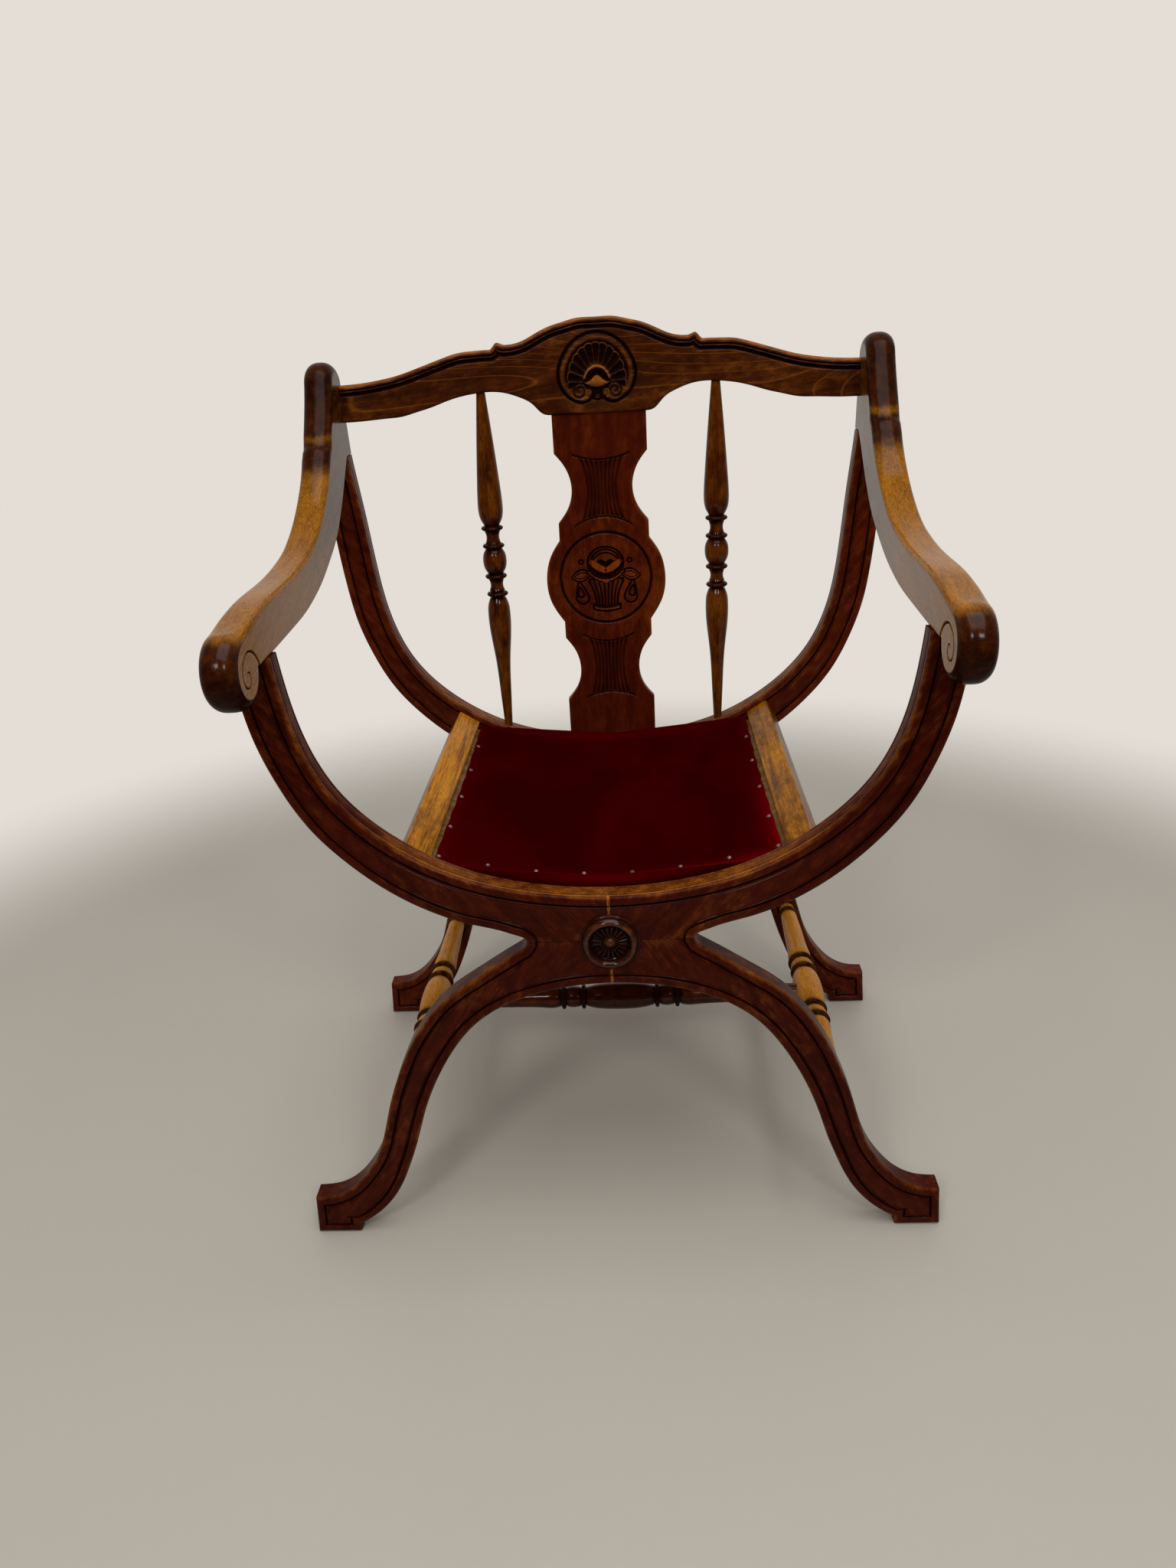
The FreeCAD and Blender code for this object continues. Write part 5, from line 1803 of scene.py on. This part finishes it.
@dataclass
class Rosette:
    """The turned boss over the front crossing: a ring round a dish of petals and a button."""

    radius: float = 29.4
    petals: int = 20
    ring_middle: float = 23.4
    ring_half: float = 4.6
    dish: float = 19.2
    button: float = 5.2

    def build(self) -> Piece:
        """Makes the boss as a polar grid whose height is a function of radius and angle.

        A flange, a round ring and a dish follow the radius. In the dish each petal is a rounded
        ridge across the angle that fades towards both of its ends, and the button is a dome. The
        last row lies a little inside the frame.

        Returns:
            The rosette.
        """
        reach = np.concatenate([np.linspace(0.0, 6.2, 14)[1:], np.linspace(6.6, 18.6, 40),
                                np.linspace(18.8, self.radius, 44), [self.radius]])
        turn = np.linspace(0.0, 2 * math.pi, 320, endpoint=False)
        away, angle = np.meshgrid(reach, turn, indexing="ij")
        ring, button = (crown * np.sqrt(np.clip(1.0 - (place / half) ** 2, 0.0, 1.0))
                        for crown, place, half in ((9.2, away - self.ring_middle, self.ring_half),
                                                   (4.6, away, self.button)))
        flange = 3.4 - round_over(self.radius - away, 1.4)
        dish = 3.2 + 1.6 * ease(away, 17.0, 19.4)
        ridge = np.abs(np.sin(angle * self.petals / 2)) ** 0.55
        petal = 2.6 * ridge * ease(away, 6.2, 8.4) * (1.0 - ease(away, 16.6, 18.4))
        inner = np.maximum(dish - 1.2 + petal, dish + button - 1.0)
        high = np.maximum(ring, np.where(away < self.dish, inner, flange))
        high[-1] = -0.5
        spots = np.stack([away * np.cos(angle), PLAN.front_face - high,
                          PLAN.crossing + away * np.sin(angle)], -1)
        # Darker between the petals, over the dish and at both feet of the ring: painted shade with
        # old polish.
        rosette_shade_and_soil = np.where(away < 19.0, (1.0 - ridge) * ease(away, 5.6, 7.5) * 0.9 + 0.35,
                        0.75 * np.exp(-((away - self.dish) / 0.9) ** 2)
                        + 0.7 * np.exp(-((away - 27.9) / 0.7) ** 2))
        rosette_shade_and_soil = np.clip(np.where(away < 5.0, 0.0, rosette_shade_and_soil), 0, 0.95)
        tone = 0.08 + 0.35 * np.exp(-((away - self.ring_middle) / 2.0) ** 2)
        tone = np.where(away < 5.0, 0.35, tone)
        rosette_shade_and_soil[-1] = tone[-1] = 0.0
        return Skin.closed(spots, tone, rosette_shade_and_soil).finish(
            "front_rosette_carved", ROSETTE_WOOD, "carved_wood", ["front_rosette"], crease=40.0)


@dataclass
class Seat:
    """The dished seat: two sloping side rails, and a velvet pad nailed down between them."""

    rail_reach: float = 24.5
    rail_drop: float = 9.5
    rail_thickness: float = 24.0
    soft_corner: float = 2.2
    bed_drop: float = 8.0
    end_height: float = 12.0
    crown: float = 6.0
    roll: float = 6.5
    roll_reach: float = 6.0
    roll_front: float = 2.4
    roll_rear: float = 1.5
    nail_inset: float = 6.5
    pucker_pitch: float = 41.0
    front_inset: float = 16.0
    front_pitch: float = 47.0
    side_pitch: float = 84.0
    nail_radius: float = 2.4
    nail_rings: tuple = ((1.0, -0.6), (0.98, 0.3), (0.80, 1.1), (0.50, 1.6), (0.18, 1.8))
    nail_hold: tuple = (3.0, 4.0)
    nail_sink: float = 0.4
    nail_lean: float = 0.30
    lean_reach: float = 170.0
    side_give: float = 2.6
    bay_give: float = 1.1
    rim_hold: float = 0.75
    swell: float = 3.2
    frames: int = 20
    cloth: tuple = (("quality", 5), ("mass", 0.25), ("tension_stiffness", 12.0),
                    ("compression_stiffness", 6.0), ("bending_stiffness", 0.35),
                    ("vertex_group_mass", "held"), ("pin_stiffness", 4.0),
                    ("use_pressure", True), ("uniform_pressure_force", 4.0))

    def rail_corners(self) -> Array:
        """The four corners of the right rail's section, which follows the seat curve's slope.

        Returns:
            The corners, as (across, up).
        """
        far = PLAN.seat_half + self.rail_reach
        tops = np.array([[PLAN.seat_half, float(PLAN.seat_height(PLAN.seat_half))],
                         [far, float(PLAN.seat_height(far))]]) - (0.0, self.rail_drop)
        way = unit(tops[1] - tops[0])
        down = np.array([way[1], -way[0]]) * self.rail_thickness
        return np.array([tops[0], tops[1], tops[1] + down, tops[0] + down])

    def rail(self, side: Side) -> Piece:
        """One side rail: its section with round corners, carried from frame to frame.

        The long flats of the section are cut in four.

        Args:
            side: the hand of the chair.

        Returns:
            The rail.
        """
        corners = self.rail_corners()
        into, out = (unit(np.roll(corners, step, 0) - corners)[:, None] for step in (1, -1))
        turn = np.linspace(0.0, math.pi / 2, 6)[:, None]
        heart = corners[:, None] + (into + out) * self.soft_corner
        section = heart - self.soft_corner * (out * np.cos(turn) + into * np.sin(turn))
        section = section.reshape(-1, 2)
        section = np.concatenate([
            np.linspace(spot, after, 5 if np.linalg.norm(after - spot) > 4.0 else 2)[:-1]
            for spot, after in zip(section, np.roll(section, -1, 0))])
        back = np.linspace(PLAN.front_face + PLAN.timber, PLAN.rear_face, 60)[:, None]
        spots = np.stack(np.broadcast_arrays(section[:, 0], back, section[:, 1]), -1)
        # Only the top face is rubbed pale, and the right rail is painted darker than the left:
        # painted shade.
        high = ease(section[:, 1] - section[:, 0] * 0.6, 334.0, 346.0)
        drift = 0.72 + 0.16 * np.sin(back / 38.0) - 0.22 * ease(back, 20.0, -150.0)
        tone = 0.10 + high * drift * (0.74 - 0.26 * side.value)
        node = side.word + "_seat_rail"
        plank = Board((0.0, 1.0, 0.0), (0.86, 0.0, 0.5), (55.0 * side.value, 0.0, 12.0))
        return Skin.closed(spots, tone, 0.0).finish(node + "_rubbed", RAIL_WOOD, "arm_wood",
                                                    [node], side, plank)

    @staticmethod
    def bow(across: Array, half: float, end: float, middle: float) -> Array:
        """Height of the arc of a circle through both ends and the middle.

        Args:
            across: distances from the middle.
            half: where the ends lie.
            end: height at the ends.
            middle: height in the middle.

        Returns:
            The heights.
        """
        rise = end - middle
        radius = (half * half + rise * rise) / (2 * rise)
        return middle + radius - np.sqrt(radius * radius - np.clip(across, -half, half) ** 2)

    def top_height(self, across: Array, back: Array) -> Array:
        """Height of the pad's top before it swells: the bow, the crown and the rolled rim.

        Args:
            across: distances from the middle.
            back: how far back each point lies.

        Returns:
            The heights.
        """
        corner = self.rail_corners()[0]
        middle = PLAN.seat_dip - self.bed_drop + self.end_height
        low, high = self.front_edge, self.rear_edge
        share = np.clip((back - low) / (high - low), 0.0, 1.0)
        lift = self.crown * np.sin(math.pi * share) ** 0.6
        lift = lift * (1.0 - (np.abs(across) / corner[0]) ** 3)
        edge = np.minimum.reduce([(back - low) / self.roll_front, (high - back) / self.roll_rear,
                                  corner[0] - np.abs(across)])
        near = 1.0 - np.clip(edge, 0.0, self.roll_reach) / self.roll_reach
        rolled = self.roll * (1.0 - np.sqrt(np.clip(1.0 - near ** 2, 0, 1)))
        return self.bow(across, corner[0], corner[1], middle) + lift - rolled

    @property
    def front_edge(self) -> float:
        """Where the pad meets the front frame."""
        return PLAN.front_face + PLAN.timber + 0.3

    @property
    def rear_edge(self) -> float:
        """Where the pad meets the rear frame."""
        return PLAN.rear_face - 0.3

    def nail_places(self) -> Array:
        """Nails at an even pitch along the front and both sides, a little in from the rim.

        Returns:
            The places, as (across, back).
        """
        half = self.rail_corners()[0][0] - self.nail_inset
        low, high = self.front_edge + self.nail_inset, self.rear_edge - self.nail_inset
        level = np.linspace(-half, half, round(2 * half / self.front_pitch) + 1)
        along = np.linspace(low, high, round((high - low) / self.side_pitch) + 1)[1:-1]
        reach = half - self.side_give * np.sin(math.pi * (along - low) / (high - low))
        row = np.full(len(level), self.front_edge + self.front_inset)
        return np.concatenate([np.stack(pair, -1) for pair in
                               ((level, row), (-reach, along), (reach, along))])

    def pull_in(self, wide: Array, deep: Array) -> tuple[Array, Array]:
        """Draws the four sides in between the corners, and a little more between the nails.

        Each side gives way by half a sine over its length, most at the rim and not at all in
        the middle of the seat.

        Args:
            wide: places across the seat.
            deep: places along it.

        Returns:
            Both, drawn in.
        """
        half = self.rail_corners()[0][0]
        low, high = self.front_edge, self.rear_edge
        length = np.clip((deep - low) / (high - low), 0.0, 1.0)
        level = np.clip((wide / half + 1.0) / 2.0, 0.0, 1.0)
        bays = round((high - low) / self.pucker_pitch), round(2.0 * half / self.pucker_pitch)
        slack = [self.side_give * np.sin(math.pi * share)
                 + self.bay_give * np.sin(math.pi * share * count) ** 2
                 for share, count in zip((length, level), bays)]
        drawn = wide - slack[0] * np.sign(wide) * np.abs(wide / half) ** 5
        across = 2.0 * length - 1.0
        return drawn, deep - 0.6 * slack[1] * np.sign(across) * np.abs(across) ** 5

    def pad_skin(self) -> tuple[Skin, Array]:
        """The pad's closed surface before it swells, and how firmly each point is held.

        Columns run across the top from rim to rim and back underneath. The underside and the
        spots under the nails are held fast.

        Returns:
            The surface, and the hold on each point.
        """
        corner = self.rail_corners()[0]
        half = corner[0] - 0.6
        even = np.linspace(-1.0, 1.0, 110)
        across = half * (0.35 * np.sin(even * math.pi / 2) + 0.65 * even)
        back = np.linspace(self.front_edge + 0.4, self.rear_edge - 0.4, 122)
        wide, deep = np.meshgrid(across, back)
        wide, deep = self.pull_in(wide, deep)
        top = np.stack([wide, deep, self.top_height(wide, deep)], -1)
        floor = self.bow(wide, half, corner[1] - 9.0, PLAN.seat_dip - self.bed_drop + 1.0)
        thin = np.minimum(floor, top[..., 2] - 2.0)
        under = np.stack([wide, deep, thin], -1)[:, ::-1][:, ::6]
        grid = beside(top, under)
        gap = np.linalg.norm(grid[:, :, None, :2] - self.nail_places(), axis=-1).min(-1)
        hold = np.clip(1.0 - (gap - self.nail_hold[0]) / self.nail_hold[1], 0.0, 1.0)
        columns = top.shape[1]
        hold[:, columns:] = 1.0
        for edge in (np.s_[:2], np.s_[-2:], np.s_[:, :2], np.s_[:, columns - 2:columns]):
            hold[edge] = np.maximum(hold[edge], self.rim_hold)
        rim = np.minimum(np.minimum(grid[..., 1] - back[0], back[-1] - grid[..., 1]),
                         half - np.abs(grid[..., 0]))
        # The rim is brighter red, most at the front and on the right: painted sheen on the rolled
        # rim, with crushed pile.
        near = 0.18 + 0.6 * ease(grid[..., 0], -60.0, 150.0) * ease(80.0 - grid[..., 1], 0.0, 160.0)
        tone = near * (0.45 * np.exp(-(rim / 13.0) ** 2) + 0.4 * np.exp(-(rim / 4.0) ** 2))
        tone[:, columns:] = 0.0
        skin = Skin()
        skin.sheet(grid, tone, wrap=True)
        for row in (0, grid.shape[0] - 1):
            skin.faces.append((row * grid.shape[1] + np.arange(grid.shape[1])).tolist())
        return skin, hold.reshape(-1)

    def pad(self) -> Piece:
        """The velvet pad, puffed up by a short cloth simulation against its nails.

        Returns:
            The pad.
        """
        skin, hold = self.pad_skin()
        piece = skin.finish("seat_pad_velvet", PAD_VELVET, "velvet", ["seat_pad"], crease=60.0)
        self.puff(piece, hold)
        smooth = piece.modifiers.new("soft", "SUBSURF")
        smooth.levels = smooth.render_levels = 1
        return piece

    def puff(self, piece: Piece, hold: Array) -> None:
        """Runs the cloth under pressure with no gravity, then keeps the capped movement.

        Args:
            piece: the pad at rest.
            hold: how firmly each point is pinned, from 0 to 1.
        """
        mesh = piece.data
        group = piece.vertex_groups.new(name="held")
        for level in np.unique(np.round(hold[hold > 0.01], 2)):
            members = np.nonzero(np.isclose(np.round(hold, 2), level))[0]
            group.add(members.tolist(), float(level), "REPLACE")
        cloth = piece.modifiers.new("puffed", "CLOTH")
        for label, value in self.cloth:
            setattr(cloth.settings, label, value)
        cloth.settings.effector_weights.gravity = 0.0
        cloth.collision_settings.use_collision = False
        scene = bpy.context.scene
        for number in range(1, self.frames + 1):
            scene.frame_set(number)
        held = piece.evaluated_get(bpy.context.evaluated_depsgraph_get())
        rest, moved = self.read_points(mesh), self.read_points(held.data)
        shift = moved - rest
        far = np.linalg.norm(shift, axis=1, keepdims=True)
        LOG.info("pad swelled by %.1f mm at most", float(far.max()) / MM)
        shift = shift * np.minimum(1.0, self.swell * MM / np.maximum(far, 1e-9))
        piece.modifiers.remove(cloth)
        piece.vertex_groups.clear()
        scene.frame_set(1)
        mesh.vertices.foreach_set("co", (rest + shift).reshape(-1))
        mesh.update()

    @staticmethod
    def read_points(mesh: bpy.types.Mesh) -> Array:
        """The points of a mesh in metres, one per row."""
        spots = np.zeros(len(mesh.vertices) * 3)
        mesh.vertices.foreach_get("co", spots)
        return spots.reshape(-1, 3)

    def nails(self, pad: Piece) -> Piece:
        """Round nail heads sunk into the velvet: domes of a circle's height over their radius.

        Args:
            pad: the finished pad.

        Returns:
            The nails, in one piece.
        """
        spots = self.read_points(pad.data) / MM
        skin = Skin()
        turn = np.linspace(0.0, 2 * math.pi, 12, endpoint=False)
        reach, rise = np.array(self.nail_rings).T[..., None]
        wide, deep = (reach * self.nail_radius * ring(turn) for ring in (np.cos, np.sin))
        for across, back in self.nail_places():
            above = spots[(np.abs(spots[:, 0] - across) < 4) & (np.abs(spots[:, 1] - back) < 4)]
            seat = above[:, 2].max() - self.nail_sink
            tilt = across / self.lean_reach * self.nail_lean
            grid = np.stack([across + wide, back + deep, seat + rise + wide * tilt], -1)
            skin.sheet(grid, wrap=True, capped=True)
        return skin.finish("seat_nails", NAIL_STEEL, "velvet", [], crease=50.0)

    def build(self) -> None:
        """Makes the rails, the pad and its nails."""
        for side in Side:
            self.rail(side)
        self.nails(self.pad())


@dataclass
class HiddenWork:
    """The CAD pieces that keep their own shape: the seat's bed and cleats, and the dowels."""

    seat_work: tuple = ("seat_panel", "front_seat_cleat", "rear_seat_cleat")
    dowels: tuple = ("front_frame_dowels", "rear_frame_dowels", "arm_dowels", "crest_dowels",
                     "seat_rail_dowels")

    def build(self) -> None:
        """Gives each node its wood through its material slots."""
        for names, look in ((self.seat_work, UNDER_WOOD), (self.dowels, DOWEL_WOOD)):
            for name in names:
                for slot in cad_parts[name].material_slots:
                    slot.material = look.material()
                LOG.info("%s: %s", name, look.name)


@dataclass
class Studio:
    """The pale floor, the soft light and the camera of the photograph.

    The camera's place is given in millimetres, the floor and the lamps in metres.
    """

    camera_place: tuple = (38.6, -1092.2, 929.4)
    pitch: float = -0.4055775
    roll: float = 0.0567815
    yaw: float = 0.0563362
    focal_pixels: float = 1420.0
    image_height: float = 2048.0
    film: float = 36.0
    floor_tone: tuple = (176, 171, 161)
    wall_tone: tuple = (228, 222, 214)
    daylight: tuple = (1.0, 0.97, 0.93, 1.0)
    glow: tuple = (-0.9, 0.9, 0.05, 0.70)
    mirror: tuple = (-0.3, 1.0, 0.02, 1.0)
    floor_drop: float = 0.0004
    floor_around: int = 96
    solid_radius: float = 1.05
    fade_radius: float = 1.75

    def camera(self) -> None:
        """The camera looks along +Y, and is then turned about its own Z, X and Y."""
        data = bpy.data.cameras.new("photo_camera")
        data.sensor_fit = "AUTO"
        data.sensor_width = self.film
        data.lens = self.focal_pixels / self.image_height * self.film
        data.clip_start = 0.01
        camera = bpy.data.objects.new("photo_camera", data)
        turned = [Matrix.Rotation(angle, 4, axis) for angle, axis in
                  ((self.yaw, "Z"), (self.pitch, "X"), (self.roll, "Y"), (math.pi / 2, "X"))]
        place = Matrix.Translation(Vector(self.camera_place) * MM)
        camera.matrix_world = place @ turned[0] @ turned[1] @ turned[2] @ turned[3]
        bpy.context.scene.collection.objects.link(camera)
        bpy.context.scene.camera = camera

    def lamp(self, name: str, place: tuple, aim: tuple, size: float, power: float,
             warmth: tuple = (1.0, 1.0, 1.0)) -> None:
        """A square soft lamp that looks at a spot.

        Args:
            name: the lamp's name.
            place: where it hangs.
            aim: the spot that it looks at.
            size: length of its sides.
            power: its power in watts.
            warmth: its colour.
        """
        data = bpy.data.lights.new(name, "AREA")
        data.size = size
        data.energy = power
        data.color = warmth
        lamp = bpy.data.objects.new(name, data)
        away = unit(np.subtract(place, aim))
        side = unit(np.cross((0.0, 1.0, 0.0), away))
        pose = np.eye(4)
        pose[:3, :3] = np.stack([side, np.cross(away, side), away], -1)
        pose[:3, 3] = place
        lamp.matrix_world = Matrix(pose.tolist())
        bpy.context.scene.collection.objects.link(lamp)

    def floor(self) -> None:
        """A flat floor that fades out beyond a radius, so that every view has the same ground."""
        turn = np.linspace(0.0, 2 * math.pi, self.floor_around, endpoint=False)
        reach = np.array([0.001, 0.6, self.solid_radius, self.fade_radius])[:, None]
        grid = np.stack(np.broadcast_arrays(reach * np.cos(turn), reach * np.sin(turn),
                                            -self.floor_drop), -1)
        index = np.arange(grid.size // 3).reshape(grid.shape[:2])
        right = np.roll(index, -1, axis=1)
        faces = np.stack([index[:-1], index[1:], right[1:], right[:-1]], -1).reshape(-1, 4)
        mesh = bpy.data.meshes.new("floor")
        mesh.from_pydata(grid.reshape(-1, 3).tolist(), [], faces.tolist() + [index[0].tolist()])
        board = NodeBoard(bpy.data.materials.new("pale_floor"))
        place = board.place()
        length = board.make("ShaderNodeVectorMath", {0: place}, "Value", operation="LENGTH")
        fade = board.window(length, self.solid_radius, self.fade_radius - 0.02)
        speck = board.noise(place, 60.0, 4.0, 0.6)
        cloud = board.noise(place, 2.2, 3.0, 0.5)
        pale = tint(*self.floor_tone)
        deep = tuple(value * 0.94 for value in pale[:3]) + (1.0,)
        colour = board.blend(board.sum_up("MULTIPLY", board.sum_up("ADD", speck, cloud), 0.5),
                             deep, pale)
        ground = board.make("ShaderNodeBsdfPrincipled", {
            "Base Color": colour, "Roughness": 0.55, "Specular IOR Level": 0.3})
        board.close("ShaderNodeOutputMaterial", board.either(
            fade, ground, board.make("ShaderNodeBsdfTransparent", {})))
        mesh.materials.append(board.holder)
        floor = bpy.data.objects.new("floor", mesh)
        bpy.context.scene.collection.objects.link(floor)

    def world(self) -> None:
        """A pale surround: brighter behind the chair, darker on the camera's side."""
        world = bpy.data.worlds.new("studio")
        bpy.context.scene.world = world
        board = NodeBoard(world)
        away = board.make("ShaderNodeSeparateXYZ", {0: board.place("Generated")}, "Y")
        wall = tint(*self.wall_tone)
        lights = [board.make("ShaderNodeBackground", {"Color": colour, "Strength": strength})
                  for colour, strength in (
                      (self.daylight, board.window(away, *self.glow, "LINEAR")),
                      (wall, board.window(away, *self.mirror, "LINEAR")), (wall, 1.0))]
        ray = board.add("ShaderNodeLightPath").outputs
        bent = board.sum_up("MAXIMUM", ray["Is Glossy Ray"], ray["Is Transmission Ray"])
        board.close("ShaderNodeOutputWorld", board.either(
            ray["Is Camera Ray"], board.either(bent, lights[0], lights[1]), lights[2]))

    def build(self) -> None:
        """Sets up the view settings, floor, world, lamps and camera."""
        bpy.context.scene.view_settings.view_transform = "Standard"
        self.floor()
        self.world()
        self.lamp("ceiling", (0.2, -0.6, 2.9), (0.0, 0.0, 0.4), 2.2, 50.0)
        self.lamp("left_window", (-0.9, -2.4, 2.3), (0.0, 0.0, 0.5), 0.5, 22.0,
                  (1.0, 0.97, 0.92))
        self.lamp("right_window", (0.9, -2.3, 2.1), (0.0, 0.0, 0.5), 0.4, 14.0,
                  (1.0, 0.97, 0.92))
        self.camera()


def main() -> None:
    """Builds the chair from the ground up and sets the studio round it."""
    logging.basicConfig(level=logging.INFO, format="%(name)s %(message)s")
    XFrame("front", PLAN.front_face, PLAN.front_tip, FRAME_WOOD).build()
    XFrame("rear", PLAN.rear_face, PLAN.rear_tip, REAR_WOOD).build()
    for side in Side:
        Armrest(side).build()
    CrestRail().build()
    BackSplat().build()
    Turnings().build()
    Rosette().build()
    Seat().build()
    HiddenWork().build()
    Studio().build()


if __name__ == "__main__":
    main()
